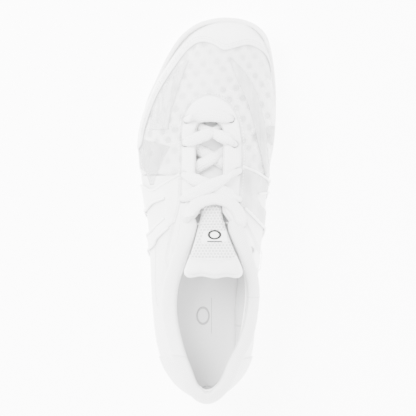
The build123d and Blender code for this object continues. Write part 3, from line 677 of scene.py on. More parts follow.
# holes of the forefoot foam, on slanted rows
perforation = {"origin": (1.2, 105.1), "step": (9.25, 1.36), "row": (4.56, -6.94), "drift": 0.12,
               "radius": 2.15, "back": 24, "front": 118, "capFront": 112, "rimRoom": 3.4, "mouthRoom": 4}
(originX, originY), (stepX, stepY), (rowX, rowY) = (perforation[key] for key in ("origin", "step", "row"))
punched = []
for r in range(-4, 14):
    for c in range(-10, 11):
        x = originX + c * stepX + r % 2 * rowX
        punched.append((x - r // 2 * perforation["drift"], originY + c * stepY + r * rowY))
footArea = footLoop[::3]


def inLoop(loop, x, y):
    inside = False
    for (ax, ay), (bx, by) in zip(loop, np.roll(loop, -1, axis=0)):
        if (ay > y) != (by > y) and x < (bx - ax) * (y - ay) / (by - ay) + ax:
            inside = not inside
    return inside


def roomInside(loop, x, y, margin):
    return all(inLoop(loop, x + margin * math.cos(a), y + margin * math.sin(a))
               for a in np.arange(0, 6.3, 0.8))


capArea = between(capEdge, [(-66, 150), (66, 150)])
beside = (-perforation["mouthRoom"], perforation["mouthRoom"])
holes = [(x, y) for x, y in punched
         if perforation["back"] < y < perforation["front"]
         and roomInside(footArea, x, y, perforation["rimRoom"])
         and not any(inLoop(mouthLoop, x + dx, y + dy) for dx in beside for dy in beside)
         and not (y > perforation["capFront"] and inLoop(capArea, x, y))]
frontArea = box2(-70, 22, 70, 150)

# the dark backing under the perforated foam is painted shade for the holes
vampBack = patch("vamp_backing", holeShadeBacking, [frontArea], low=-4.9, high=-3.6, spacing=3.0, soft=0, hem=tucked)
finishPiece(vampBack, "root", "lining_mesh", "vamp_lining")
vampCore = patch("vamp_core", coreFoam, [frontArea], [disc(x, y, perforation["radius"], 12) for x, y in holes]
                 + holeLoops[:6], low=-3.5, high=-1.6, spacing=2.6, soft=0.5, hem=tucked)
finishPiece(vampCore, "root", "foam_white", "vamp_foam", "toe_puff")
vampFilm = patch("vamp_film_skin", clearFilm, [frontArea], holeLoops[:6], low=-1.5, high=-1.0, spacing=2.2,
                 soft=0.4, hem=tucked)
finishPiece(vampFilm, "root", "film_clear", "vamp_film")
print("forefoot ready")

throatLinings = {}
for side, area in (("lateral", box2(-70, -150, 0, 22)), ("medial", box2(0, -150, 70, 22))):
    throatLinings[side] = patch(f"{side}_throat_lining", liningMesh, [area], [box2(-70, -150, 70, -16)],
                                low=-5.2, high=-4.5, spacing=2.6, soft=0, hem=tucked)
    core = patch(f"{side}_quarter_foam", coreFoam, [area], low=-4.4, high=-1.7, spacing=3.0, soft=0.4,
                 hem=tucked)
    finishPiece(core, "root", "foam_white", f"quarter_foam_{side}")
    skin = patch(f"{side}_quarter_skin", quarterSkin, [area], holeLoops[6:], low=-1.6, high=-1.0, spacing=2.2,
                 soft=0.5, hem=tucked)
    finishPiece(skin, "root", "synthetic_white", f"quarter_skin_{side}")
print("quarters ready")

toeCap = patch("toe_cap_skin", capLeather, [capArea], low=-0.9, high=0.0, spacing=1.7, soft=1.2)
finishPiece(toeCap, "root", "synthetic_white", "toe_cap")
eyestay = patch("eyestay_skin", strapLeather, [eyestayLoop], [capArea] + holeLoops, low=-0.9, high=0.0,
                spacing=1.4, soft=0.9, hem=tucked)
finishPiece(eyestay, "root", "synthetic_white", "eyestay")
ribArea = smoothLine([(13.6, 52), (18.6, 50), (20.8, 40), (20.6, 29.4), (13.4, 29.4), (13.2, 36)], 0.8,
                     closed=True)
ribs = patch("eyestay_ribs", strapLeather, [ribArea], holeLoops, low=-0.2, high=0.22, spacing=0.42, soft=0.4,
             relief=lambda x, y: 0.16 * math.sin(x * 4.2))
finishPiece(ribs, "root", "synthetic_white")
for side, spearArea, coat in (("lateral", lateralSpear, streakFilm), ("medial", medialSpear, spearFilm)):
    spear = patch(f"{side}_spear", coat, [spearArea], [capArea, eyestayLoop], low=-0.9, high=-0.1, spacing=1.4,
                  soft=0.9)
    finishPiece(spear, "root", "film_clear", f"spear_overlay_{side}")
for side, strapArea, opening, coat in (("lateral", lateralStrap, lateralWindow, strapLeather),
                                       ("medial", medialStrap, medialNotch, strapFilm)):
    strap = patch(f"{side}_strap", coat, [strapArea], [opening, eyestayLoop, lateralSpear, medialSpear],
                  low=-0.9, high=0.0, spacing=1.5, soft=1.0)
    finishPiece(strap, "root", "synthetic_white", f"midfoot_strap_{side}")
windowPatches = joined("vamp_window_film", [
    patch("window", windowShadeFilm, [area], [eyestayLoop], low=-0.98, high=-0.82, spacing=1.6, soft=0.2)
    for area in ([(-60, 46.5), (-44, 45.8), (-35.8, 43.8), (-24.8, 40.6), (-28.7, 34.6), (-32.6, 26),
                  (-36.4, 15.4), (-39, 15), (-42, 24), (-60, 30)],
                 [(28.2, 48), (33, 50.6), (42, 54.8), (60, 58), (60, 38), (44, 42.4), (35, 44.6)])])
finishPiece(windowPatches, "root", "film_clear")
heelPanel = patch("heel_panel_skin", collarKnit, [box2(-70, -150, 70, -98)], low=-0.9, high=0.0, spacing=1.8,
                  soft=1.0, hem=tucked)
finishPiece(heelPanel, "root", "synthetic_white", "heel_panel")
pipes = {
    "lateral": [[*frontFold, (-18.5, 21.8)], windowFront, windowBack, backFold],
    "medial": [[(22.8, 27.2), (31.8, 23.6), (40.6, 18.6), (52, 13), (66, 8)],
               [(33.4, 9.4), (44, 10.6), (66, 12)],
               [(24, 0), (28, -3.7), (37.9, -13.3), (50, -23), (66, -30)]],
}
for side, lines in pipes.items():
    parts = [patch(f"{side}_pipe{k}", pipingGloss, [ribbon(line, 1.5)], low=-0.1, high=0.95, spacing=0.8,
                   soft=0.75) for k, line in enumerate(lines)]
    finishPiece(joined(f"{side}_piping", parts), "root", "synthetic_white", f"strap_piping_{side}")
print("overlays ready")


# padded ring round the foot opening, swept along the mouth's edge
collarPad = {"width": 5.4, "thick": 4.3, "inset": 4.4, "drop": 3.5, "sections": 26, "pucker": 0.0352,
             "taperRows": 9, "evening": 60, "overhang": 0.9, "steepThinner": 0.34}


def evened(values, turns):
    for _ in range(turns):
        values = (np.roll(values, 1, 0) + 2 * values + np.roll(values, -1, 0)) / 4
    return values


mouthEdge = evened(upper[:, -1], 6)
mouthOut = evened(upperNormal[:, -3], collarPad["evening"])
mouthOut /= np.linalg.norm(mouthOut, axis=1, keepdims=True)
mouthInward = evened(upper[:, -1] - upper[:, -4], collarPad["evening"])
mouthInward -= mouthOut * np.sum(mouthInward * mouthOut, axis=1, keepdims=True)
mouthInward /= np.linalg.norm(mouthInward, axis=1, keepdims=True)
towardMouth = np.zeros((rows, 3))
towardMouth[:, :2] = mouthLoop - upper[:, 0, :2]
towardMouth = evened(towardMouth, 20)
towardMouth /= np.linalg.norm(towardMouth, axis=1, keepdims=True)
steepness = np.abs(np.sum(mouthOut * towardMouth, axis=1))
rollThick = collarPad["thick"] * (1 - collarPad["steepThinner"] * steepness)
rollMiddle = mouthEdge - mouthInward * collarPad["inset"] - mouthOut * collarPad["drop"]
flatness = np.sum(mouthInward * towardMouth, axis=1)
rollReach = np.sqrt((collarPad["width"] * flatness) ** 2 + (rollThick * steepness) ** 2)
overshoot = np.sum((rollMiddle - mouthEdge) * towardMouth, axis=1) + rollReach - collarPad["overhang"]
rollMiddle -= towardMouth * overshoot[:, None]   # where the wall is steep, the roll sits outside the mouth


def collarRing(name, material, chosen, taper=(False, False)):
    # closed padded roll over the chosen rows of the mouth's edge, in order
    count = collarPad["sections"]
    points, plan = [], []
    run = 0.0
    before = None
    for k, i in enumerate(chosen):
        edge, out, inward = mouthEdge[i], mouthOut[i], mouthInward[i]
        if before is not None:
            run += np.linalg.norm(edge - before)
        before = edge
        ends = min((k + 0.4) / collarPad["taperRows"] if taper[0] else 1,
                   (len(chosen) - 0.6 - k) / collarPad["taperRows"] if taper[1] else 1, 1)
        fit = math.sqrt(max(0.02, 1 - (1 - ends) ** 2))
        ripple = collarPad["pucker"] * math.sin(run * 0.9 + 1.3 * math.sin(run * 0.23))
        for j in range(count):
            turn = 2 * math.pi * j / count
            wide, high = math.cos(turn), math.sin(turn)
            across = math.copysign(abs(wide) ** 0.86, wide) * collarPad["width"] * fit
            rise = math.copysign(abs(high) ** 0.8, high) * rollThick[i] * fit
            if wide < -0.3:   # puckers where the roll is sewn down
                rise *= 1 + ripple * (-wide - 0.3) * 1.6
            middle = rollMiddle[i] - inward * (1 - fit) * 1.5
            points.append(middle + inward * across + out * rise)
            plan.append((run, turn * 5.0))
    return newPiece(name, points, tubeFaces(len(chosen), count), material, plan=plan)


lateralRows = [i for i in range(rows // 2) if mouthLoop[i][1] < -5]
medialRows = [i for i in range(rows // 2, rows) if mouthLoop[i][1] < -5]
aroundHeel = medialRows + lateralRows   # from the inner side of the throat, round the heel, to the outer side
kneeMedial = next(k for k, i in enumerate(aroundHeel) if mouthLoop[i][1] < -58)
kneeLateral = len(aroundHeel) - next(k for k, i in enumerate(aroundHeel[::-1]) if mouthLoop[i][1] < -98)
medialRoll = collarRing("collar_pad_medial", collarKnit, aroundHeel[:kneeMedial + 1], (True, False))
heelRoll = collarRing("collar_pad_heel", collarKnit, aroundHeel[kneeMedial:kneeLateral + 1])
lateralRoll = collarRing("collar_pad_lateral", quarterSkin, aroundHeel[kneeLateral:], (False, True))
finishPiece(medialRoll, "root", "knit_white", "collar_cover_medial")
finishPiece(heelRoll, "root", "knit_white", "collar_foam", "collar_lining")
finishPiece(lateralRoll, "root", "knit_white", "collar_cover_lateral")
print("collar ready")


# lining of the foot room, from the collar pad down to the insole
seamLoop = upper[:, 0, :2]


def insoleInset(i):
    x, y = seamLoop[i]
    arch = max(0.0, 1 - ((y + 58) / 56) ** 2) if x > 0 else 0.0
    return 6.6 + 4.6 * arch ** 0.6


insoleEdge = np.zeros((rows, 2))
for i in range(rows):
    reach = mouthLoop[i] - seamLoop[i]
    insoleEdge[i] = seamLoop[i] + reach / np.linalg.norm(reach) * insoleInset(i)


def seamHeight(y):
    return float(np.interp(y, [-126, -106, -90, -65, -42, -20, 0, 20, 40, 58, 74, 90, 106, 115, 121, 128],
                           [21.5, 20.5, 19.5, 18.5, 17.5, 16.5, 15.5, 14.5, 13.5, 13.0, 13.2, 14.5, 16.5, 18.5,
                            20.0, 21.8]))


liningShape = {"steps": 22, "thick": 0.8, "hem": 2.2, "tuck": 1.6, "bellyHeight": 12.0, "belly": 0.6,
               "sag": 0.8, "pitch": 1.15, "rise": 1.9}


def sockLining(name, chosen):
    steps = liningShape["steps"]
    inner, plan = [], []
    for k, i in enumerate(chosen):
        edge = rollMiddle[i] - mouthOut[i] * rollThick[i] * 0.7
        x, y = insoleEdge[i]
        away = np.array([*(seamLoop[i] - insoleEdge[i]), 0.0])
        away /= np.linalg.norm(away)
        low = np.array([x, y, seamHeight(y) + liningShape["hem"]]) - away * liningShape["tuck"]
        belly = np.array([x, y, seamHeight(y) + liningShape["bellyHeight"]]) + away * liningShape["belly"]
        upperPart = edge * 0.62 + belly * 0.38 + away * liningShape["sag"]
        line = resample(smoothLine([low, belly, upperPart, edge], 1.0), 1.0)
        marks = np.linspace(0, len(line) - 1, steps)
        line = np.stack([np.interp(marks, range(len(line)), line[:, c]) for c in range(3)], axis=1)
        inner.append(line)
        plan.append([(k * liningShape["pitch"], height * liningShape["rise"]) for height in range(steps)])
    inner = np.array(inner)
    side = np.cross(np.gradient(inner, axis=0), np.gradient(inner, axis=1))
    side /= np.linalg.norm(side, axis=2, keepdims=True)
    middle = np.array([0.0, inner[:, :, 1].mean(), 40.0])
    if np.sum((inner[len(inner) // 2, 8] - middle) * side[len(inner) // 2, 8]) < 0:
        side = -side
    outer = inner + side * liningShape["thick"]
    points = list(inner.reshape(-1, 3)) + list(outer.reshape(-1, 3))
    total = len(chosen) * steps
    faces = []
    for k in range(len(chosen) - 1):
        for j in range(steps - 1):
            a = k * steps + j
            faces.append((a, a + 1, a + steps + 1, a + steps))
            faces.append(tuple(v + total for v in (a + steps, a + steps + 1, a + 1, a)))
    for k in range(len(chosen) - 1):
        for j in (0, steps - 1):
            a = k * steps + j
            faces.append((a, a + steps, a + steps + total, a + total))
    for j in range(steps - 1):
        for k in (0, len(chosen) - 1):
            a = k * steps + j
            faces.append((a, a + 1, a + 1 + total, a + total))
    flat = [spot for row in plan for spot in row]
    return newPiece(name, points, faces, liningMesh, plan=flat + flat)


heelwardRows = [i for i in aroundHeel if mouthLoop[i][1] <= -78]
for side, chosen in (("medial", medialRows), ("lateral", lateralRows)):
    wall = sockLining("wall", [i for i in chosen if mouthLoop[i][1] > -79])
    wall = joined(f"{side}_quarter_lining", [wall, throatLinings[side]])
    finishPiece(wall, "root", "lining_mesh", f"quarter_lining_{side}")
heelLined = sockLining("heel_pocket_lining", heelwardRows)
finishPiece(heelLined, "root", "lining_mesh", "heel_lining", "heel_counter")
print("lining ready")


# tongue: lower part under the lacing, padded top that folds up
def ridgeHeight(y):
    return float(np.interp(y, [-20, 0, 20, 40, 58, 74], [71.0, 71.0, 65.0, 58.0, 52.0, 47.5]))


def lowerTongue(x, y):
    return np.array([x, y, ridgeHeight(y) - 9.3 - 0.021 * (x - 1) ** 2]), np.array([0.0, 0.27, 0.963])


def tonguePlane(x, y):
    middle = 1 + (-0.5 - y) * 0.055
    along = (-0.5 - y) / 44.5
    lift = 64.0 + along * 15.0 - 0.006 * (1 + along) * (x - middle) ** 2
    return np.array([x, y, lift]), np.array([0.0, 0.3193, 0.9477])


tongueSides = smoothLine([
    (9.0, 1.5), (2.4, 2.4), (-4.2, 1.5), (-5.0, -6), (-7.4, -16), (-10.4, -27), (-14.4, -37), (-15.4, -41.6),
    (-12, -44.2), (-4, -43.2), (4, -44.6), (12, -43.6), (19, -44.4), (22.2, -41.8), (21.4, -37), (16.4, -26),
    (12.4, -15), (9.6, -6)], 1.2, closed=True)
meshArea = smoothLine([(8.2, 0.4), (2.4, 1), (-3.4, 0.4), (-4, -6), (-6.2, -16), (-9.4, -27), (-11.4, -32.6),
                       (3, -33.8), (17.6, -32.6), (15.4, -26), (11.4, -15), (8.8, -6)], 1.2, closed=True)
endBand = smoothLine([(-11.2, -34.2), (3, -35.2), (17.8, -34.2), (20.6, -38), (21.2, -41.4), (18.6, -43.6),
                      (12, -42.8), (4, -43.8), (-4, -42.4), (-11.6, -43.4), (-14.4, -41.2), (-13.6, -38)], 1.2,
                     closed=True)
labelArea = [(-3.2, -15.6), (11.6, -15.2), (13.2, -23.2), (-4.8, -23.6)]
labelInk = coated("labelInk", light=0.012, crease=20.0, creaseDepth=0.0, rough=0.45, edgeShade=0.0)
labelWhite = woven("labelWhite", light=0.88, thread=0.00035, depth=0.00005)


def swell(x, y):
    return 0.5 * math.sin((y + 1) * 0.36) * math.exp(-((x - 2) / 16) ** 2)


def topPart(name, material, area, holes=(), relief=swell, **shape):
    return patch(name, material, [area], holes, relief=relief, surface=tonguePlane, clip=False, **shape)


lowerArea = smoothLine([(-19, 3.4), (-19, 56), (-12, 66), (12, 66), (19.6, 56), (19.6, 3.4)], 2.0, closed=True)
lower = patch("tongue_under_lace", tongueCloth, [lowerArea], low=-3.6, high=0.2, spacing=1.8, soft=2.5,
              surface=lowerTongue, clip=False,
              relief=lambda x, y: 0.35 * math.sin(y * 0.5) * math.cos(x * 0.16))
finishPiece(lower, "root", "tongue_mesh", "tongue_lower")
pad = topPart("tongue_pad_top", tongueCloth, tongueSides, low=-2.4, high=2.3, spacing=1.2, soft=3.0)
face = topPart("tongue_air_mesh", tongueCell, meshArea, low=1.2, high=2.9, spacing=1.1, soft=1.4)
band = topPart("tongue_end_band", quarterSkin, endBand, low=1.0, high=3.6, spacing=1.0, soft=4.0,
               relief=lambda x, y: 0.25 * math.sin(x * 0.8 + 0.6))
label = topPart("tongue_tab", labelWhite, labelArea, low=2.0, high=3.5, spacing=1.0, soft=0.5)
ovalMark = [[(x * 1.5 - 2.1, y) for x, y in disc(4.2, -18.4, radius, 28)] for radius in (3.0, 1.9)]
tabInk = joined("tongue_tab_print", [
    topPart("mark", labelInk, ovalMark[0], ovalMark[1:], low=3.2, high=3.6, spacing=0.6, soft=0),
    topPart("bar", labelInk, box2(-0.6, -22.9, 9.0, -22.2), low=3.2, high=3.6, spacing=0.6, soft=0)])
finishPiece(pad, "tongue_top", "knit_white", "tongue_pad")
finishPiece(face, "tongue_top", "tongue_mesh", "tongue_mesh")
finishPiece(band, "tongue_top", "synthetic_white", "tongue_binding")
finishPiece(label, "tongue_top", "label_white", "tongue_label")
finishPiece(tabInk, "tongue_top", "label_white")
print("tongue ready")

# outline of the sole, from the back of the heel along the outer side
soleOutline = [
    (-1.5, -128.2), (-13.5, -124.5), (-22.5, -117.6), (-30.0, -105.7), (-34.6, -90.0), (-36.8, -70.0),
    (-37.6, -45.0), (-38.2, -20.0), (-40.0, 3.0), (-44.2, 22.0), (-46.9, 41.0), (-45.2, 57.5), (-41.0, 73.8),
    (-34.5, 88.0), (-27.6, 102.0), (-19.0, 114.8), (-8.0, 123.3), (4.0, 127.0), (14.0, 127.6), (24.0, 126.2),
    (33.4, 122.0), (40.2, 114.0), (44.0, 98.3), (45.9, 80.0), (46.0, 62.0), (44.4, 41.0), (40.5, 22.0),
    (37.2, 0.0), (34.4, -22.0), (32.2, -45.0), (31.0, -70.0), (31.2, -88.0), (28.4, -102.0), (22.6, -113.5),
    (12.8, -123.0)]


def insetLoop(loop, distance):
    # the loop drawn in by a distance; it runs clockwise
    along = np.roll(loop, -2, axis=0) - np.roll(loop, 2, axis=0)
    along /= np.linalg.norm(along, axis=1, keepdims=True)
    return loop + np.stack([along[:, 1], -along[:, 0]], axis=1) * distance


# loose insole: foam with a woven cover, its rim cupped round the heel
insoleShape = {"above": 5.2, "cupReach": 9, "cup": 0.5, "heelCup": 1.1, "arch": 1.0, "dish": 0.7}
insoleRim = kdtree.KDTree(len(insoleEdge))
for k, (x, y) in enumerate(insoleEdge):
    insoleRim.insert((x, y, 0), k)
insoleRim.balance()


def insoleTop(x, y):
    near = max(0.0, 1 - insoleRim.find((x, y, 0))[2] / insoleShape["cupReach"])
    heelward = clamped((-20 - y) / 40)
    cup = (insoleShape["cup"] + insoleShape["heelCup"] * heelward) * near * near
    arch = insoleShape["arch"] * math.exp(-((x - 24) / 9) ** 2 - ((y + 20) / 30) ** 2)
    dish = insoleShape["dish"] * heelward * math.exp(-((x + 2) / 15) ** 2 - ((y + 95) / 22) ** 2)
    height = seamHeight(y) + insoleShape["above"] + cup + arch - dish
    return np.array([x, y, height]), np.array([0.0, 0.0, 1.0])


def insolePart(name, material, area, holes=(), **shape):
    return patch(name, material, [area], holes, surface=insoleTop, clip=False, **shape)


bed = insolePart("insole_bed", insoleFoam, insoleEdge, low=-3.2, high=0.0, spacing=2.6, soft=1.0)
cover = insolePart("insole_fabric", insoleCloth, insetLoop(insoleEdge, 0.3), low=0.05, high=0.75, spacing=2.0,
                   soft=0.7)
insoleInk = woven("insoleInk", light=0.36, thread=0.00055, slub=0.5)
ring = [[(x * 0.72 - 0.9, y) for x, y in disc(-3.4, -72, radius, 36)] for radius in (6.2, 4.7)]
emblem = joined("insole_print", [
    insolePart("ring", insoleInk, ring[0], ring[1:], low=0.6, high=1.0, spacing=1.2, soft=0),
    insolePart("bar", insoleInk, box2(1.8, -84.5, 2.8, -59.5), low=0.6, high=0.82, spacing=1.2, soft=0.1)])
finishPiece(bed, "insole", "insole_grey", "insole_foam")
finishPiece(cover, "insole", "insole_grey", "insole_cover")
finishPiece(emblem, "insole", "insole_grey")
print("insole ready")

# lace: flat tubular braid along its route, narrowed where it goes through a hole
laceRoute = [
    (28.0, 34.0, 42.6), (26.6, 22.0, 45.6), (24.0, 11.5, 51.8), (20.2, 5.8, 57.2), (20.2, 5.8, 68.4),
    (11.0, 10.0, 71.0), (2.0, 14.0, 71.2), (-7.0, 17.8, 69.0), (-15.8, 21.4, 65.2), (-15.8, 21.4, 54.4),
    (-7.0, 26.5, 56.1), (2.0, 32.0, 58.6), (10.5, 37.2, 50.4), (17.5, 41.8, 47.9), (17.5, 41.8, 58.6),
    (9.0, 46.5, 58.8), (1.0, 50.0, 53.6), (-7.5, 54.0, 45.4), (-14.3, 58.0, 43.0), (-14.3, 58.0, 53.6),
    (0.4, 61.0, 55.4), (15.2, 58.5, 53.8), (15.2, 58.5, 43.2), (7.8, 53.2, 45.0), (2.4, 49.4, 58.4),
    (-7.0, 45.4, 58.9), (-15.1, 42.5, 58.4), (-15.1, 42.5, 47.9), (-7.0, 38.4, 50.6), (2.0, 33.4, 53.8),
    (11.0, 28.6, 54.4), (20.2, 24.1, 52.0), (20.2, 24.1, 62.8), (12.0, 19.8, 69.0), (2.0, 14.2, 75.0),
    (-7.0, 10.2, 72.8), (-16.5, 5.8, 69.4), (-16.5, 5.8, 58.9), (-16.2, -1.0, 60.6), (-14.0, -8.0, 62.4),
    (-14.0, -8.0, 73.0), (-8.5, 2.6, 72.6), (3.0, 7.0, 73.0), (13.0, 4.6, 71.6), (19.6, -2.0, 69.8),
    (22.3, -10.5, 70.2), (22.3, -10.5, 57.8), (23.2, -21.0, 56.6)]
laceSize = {"width": 8.0, "thick": 4.1, "holeWidth": 4.4, "around": 18, "step": 0.7, "level": 0.4,
            "girth": 19.0}


def laceLine(points, step):
    # quadratic B-spline through the middles of the runs, as a NURBS of order 3 with its ends held
    spline = bpy.data.curves.new("laceLine", "CURVE")
    spline.dimensions = "3D"
    run = spline.splines.new("NURBS")
    run.points.add(len(points) - 1)
    for spot, point in zip(run.points, points):
        spot.co = (*[v * mm for v in point], 1.0)
    run.order_u = 3
    run.use_endpoint_u = True
    run.resolution_u = 24
    holder = placed("laceLine", spline)
    bpy.context.view_layer.update()
    mesh = holder.evaluated_get(bpy.context.evaluated_depsgraph_get()).to_mesh()
    line = np.array([v.co for v in mesh.vertices]) / mm
    bpy.data.objects.remove(holder)
    return resample(line, step)


def sweepLace(name, line, material):
    points, plan = [], []
    count = laceSize["around"]
    along = np.gradient(line, axis=0)
    along /= np.linalg.norm(along, axis=1, keepdims=True)
    flat = np.array([0.0, 0.0, 1.0])
    steep = np.convolve(np.pad(np.abs(along[:, 2]), 4, mode="edge"), np.ones(9) / 9, "valid")
    run = 0.0
    for k, (point, forward) in enumerate(zip(line, along)):
        level = np.array([0.0, 0.0, 1.0]) - forward * forward[2]
        flat = flat - forward * np.dot(flat, forward)
        pull = laceSize["level"] * max(0.0, 1 - steep[k]) ** 1.5
        flat = flat / np.linalg.norm(flat) * (1 - pull) + level * pull
        flat /= np.linalg.norm(flat)
        side = np.cross(forward, flat)
        squeeze = clamped((steep[k] - 0.35) / 0.5)
        width = laceSize["width"] * (1 - squeeze) + laceSize["holeWidth"] * squeeze
        wide = side * width / 2 * (1 + 0.03 * math.sin(run * 1.4))
        for j in range(count):
            turn = 2 * math.pi * j / count
            points.append(point + wide * math.cos(turn) + flat * math.sin(turn) * laceSize["thick"] / 2)
            plan.append((run, turn / (2 * math.pi) * laceSize["girth"]))
        run += laceSize["step"]
    return newPiece(name, points, tubeFaces(len(line), count), material, plan=plan)


braid = Finish("laceBraid", rough=0.8, sheen=0.25, specular=0.25)
turned = braid.tree.nodes.new("ShaderNodeMapping")
turned.inputs["Rotation"].default_value = (0, 0, math.radians(45))
braid.tree.links.new(braid.plan, turned.inputs["Vector"])
plait = braid.group(weaveTree, Vector=turned.outputs[0], Thread=0.00095, Slub=0.25)
plaitTone = braid.ramp(plait["Shade"], (0.15, grey(0.8)), (0.65, grey(0.95)))
laceBraid = braid.done(plaitTone, plait["Height"], 0.00045, 0.9)
laceTube = sweepLace("lace_braid", laceLine(laceRoute, laceSize["step"]), laceBraid)
finishPiece(laceTube, "root", "lace_white", "lace")
print("lace ready")

# sole: foam midsole with finger grooves, rubber rim round the toe
def groundHeight(y):
    return float(np.interp(y, [-135, -128, -120, -112, 70, 80, 92, 102, 112, 120, 128, 135],
                           [4.0, 2.7, 1.0, 0.0, 0.0, 0.2, 1.2, 2.6, 4.5, 6.3, 8.3, 10.0]))


def rimHeight(y):
    return float(np.interp(y, [62, 74, 92, 112, 128], [6.0, 11.5, 15.6, 20.8, 24.2]))


midsoleShape = {"step": 0.9, "grooves": range(-62, -13, 8), "grooveDepth": 1.9, "grooveWidth": 1.25,
                "waist": 0.4, "waistDepth": 1.5, "tread": 3.2, "rimStart": 64, "rimRoom": 2.3}
waistIn, waistDepth = midsoleShape["waist"], midsoleShape["waistDepth"]
wallLoop = smoothLine(soleOutline, midsoleShape["step"], closed=True)
wallAway = insetLoop(wallLoop, 1.0) - wallLoop   # one millimetre inwards
wallPoints, wallPlan, wallFaces = [], [], []
for k, ((x, y), inwards) in enumerate(zip(wallLoop, wallAway)):
    ground, seam = groundHeight(y), seamHeight(y)
    behindRim = midsoleShape["rimRoom"] * clamped((y - midsoleShape["rimStart"]) / 9)
    groove = sum(math.exp(-((y - g) / midsoleShape["grooveWidth"]) ** 2) for g in midsoleShape["grooves"])
    depth = midsoleShape["grooveDepth"] * min(1.0, groove)
    high = seam - ground - midsoleShape["tread"]
    for inset, level, cut in ((5.0, 0.0, 0), (0.9, 0.0, 0), (0.35, 0.05, 0), (0.25, 0.14, 0), (0.45, 0.24, 0.3),
                              (waistIn + waistDepth * 0.6, 0.36, 1), (waistIn + waistDepth, 0.5, 1),
                              (waistIn + waistDepth * 0.7, 0.66, 1), (0.7, 0.78, 0.3), (0.35, 0.86, 0),
                              (0.5, 0.94, 0), (1.2, 1.0, 0), (2.6, 1.02, 0), (7.5, 1.01, 0)):
        spot = np.array([x, y]) + inwards * (inset + behindRim + depth * cut)
        wallPoints.append((*spot, ground + midsoleShape["tread"] + level * high))
        wallPlan.append((k * midsoleShape["step"], level * 14))
tall = len(wallPoints) // len(wallLoop)
for k in range(len(wallLoop)):
    a, b = k * tall, (k + 1) % len(wallLoop) * tall
    for j in range(tall - 1):
        wallFaces.append((a + j, b + j, b + j + 1, a + j + 1))
wallFaces.append(tuple(k * tall for k in range(len(wallLoop))))
wallFaces.append(tuple(k * tall + tall - 1 for k in range(len(wallLoop)))[::-1])
midsole = newPiece("midsole_foam", wallPoints, wallFaces, evaFoam, plan=wallPlan)
finishPiece(midsole, "root", "eva_white", "midsole")

rimChosen = [k for k in range(len(wallLoop)) if wallLoop[k][1] > 62]
rimPoints = []
for k in rimChosen:
    (x, y), inwards = wallLoop[k], wallAway[k]
    ground, top = groundHeight(y), rimHeight(y)
    for inset, height in ((2.2, ground + 3.3), (0.5, ground + 3.3), (0.05, ground + 4.2),
                          (0.0, top * 0.5 + ground * 0.5), (0.05, top - 1.4), (0.35, top - 0.5), (1.0, top),
                          (1.9, top - 0.05), (3.2, top - 0.9), (3.2, ground + 8)):
        rimPoints.append((*(np.array([x, y]) + inwards * inset), height))
rimFaces = tubeFaces(len(rimChosen), len(rimPoints) // len(rimChosen))
toeRim = newPiece("toe_rim_rubber", rimPoints, rimFaces, rubberWhite)
finishPiece(toeRim, "root", "rubber_white", "toe_bumper")
print("sole ready")


# stitches: short raised threads along paths, made by a Geometry Nodes tree
def stitchTree(material):
    tree = bpy.data.node_groups.new("stitchRow", "GeometryNodeTree")
    tree.interface.new_socket("Geometry", in_out="INPUT", socket_type="NodeSocketGeometry")
    for label, value in (("Pitch", 0.0022), ("Length", 0.0015), ("Thickness", 0.0004)):
        socket = tree.interface.new_socket(label, in_out="INPUT", socket_type="NodeSocketFloat")
        socket.default_value = value
    tree.interface.new_socket("Geometry", in_out="OUTPUT", socket_type="NodeSocketGeometry")
    start, end = tree.nodes.new("NodeGroupInput"), tree.nodes.new("NodeGroupOutput")
    toCurve = tree.nodes.new("GeometryNodeMeshToCurve")
    even = tree.nodes.new("GeometryNodeResampleCurve")
    even.mode = "LENGTH"
    thread = tree.nodes.new("GeometryNodeMeshIcoSphere")
    thread.inputs["Radius"].default_value = 1.0
    thread.inputs["Subdivisions"].default_value = 1
    sizes = tree.nodes.new("ShaderNodeCombineXYZ")
    shaped = tree.nodes.new("GeometryNodeTransform")
    tangent = tree.nodes.new("GeometryNodeInputTangent")
    align = tree.nodes.new("FunctionNodeAlignRotationToVector")
    align.axis = "Z"
    place = tree.nodes.new("GeometryNodeInstanceOnPoints")
    real = tree.nodes.new("GeometryNodeRealizeInstances")
    coat = tree.nodes.new("GeometryNodeSetMaterial")
    coat.inputs["Material"].default_value = material
    link = tree.links.new
    link(start.outputs["Geometry"], toCurve.inputs[0])
    link(toCurve.outputs[0], even.inputs["Curve"])
    link(start.outputs["Pitch"], even.inputs["Length"])
    link(start.outputs["Thickness"], sizes.inputs[0])
    link(start.outputs["Thickness"], sizes.inputs[1])
    link(calc(tree, "MULTIPLY", start.outputs["Length"], 0.5), sizes.inputs[2])
    link(thread.outputs["Mesh"], shaped.inputs["Geometry"])
    link(sizes.outputs[0], shaped.inputs["Scale"])
    link(tangent.outputs[0], align.inputs["Vector"])
    link(even.outputs[0], place.inputs["Points"])
    link(shaped.outputs[0], place.inputs["Instance"])
    link(align.outputs[0], place.inputs["Rotation"])
    link(place.outputs[0], real.inputs[0])
    link(real.outputs[0], coat.inputs["Geometry"])
    link(coat.outputs[0], end.inputs["Geometry"])
    return tree


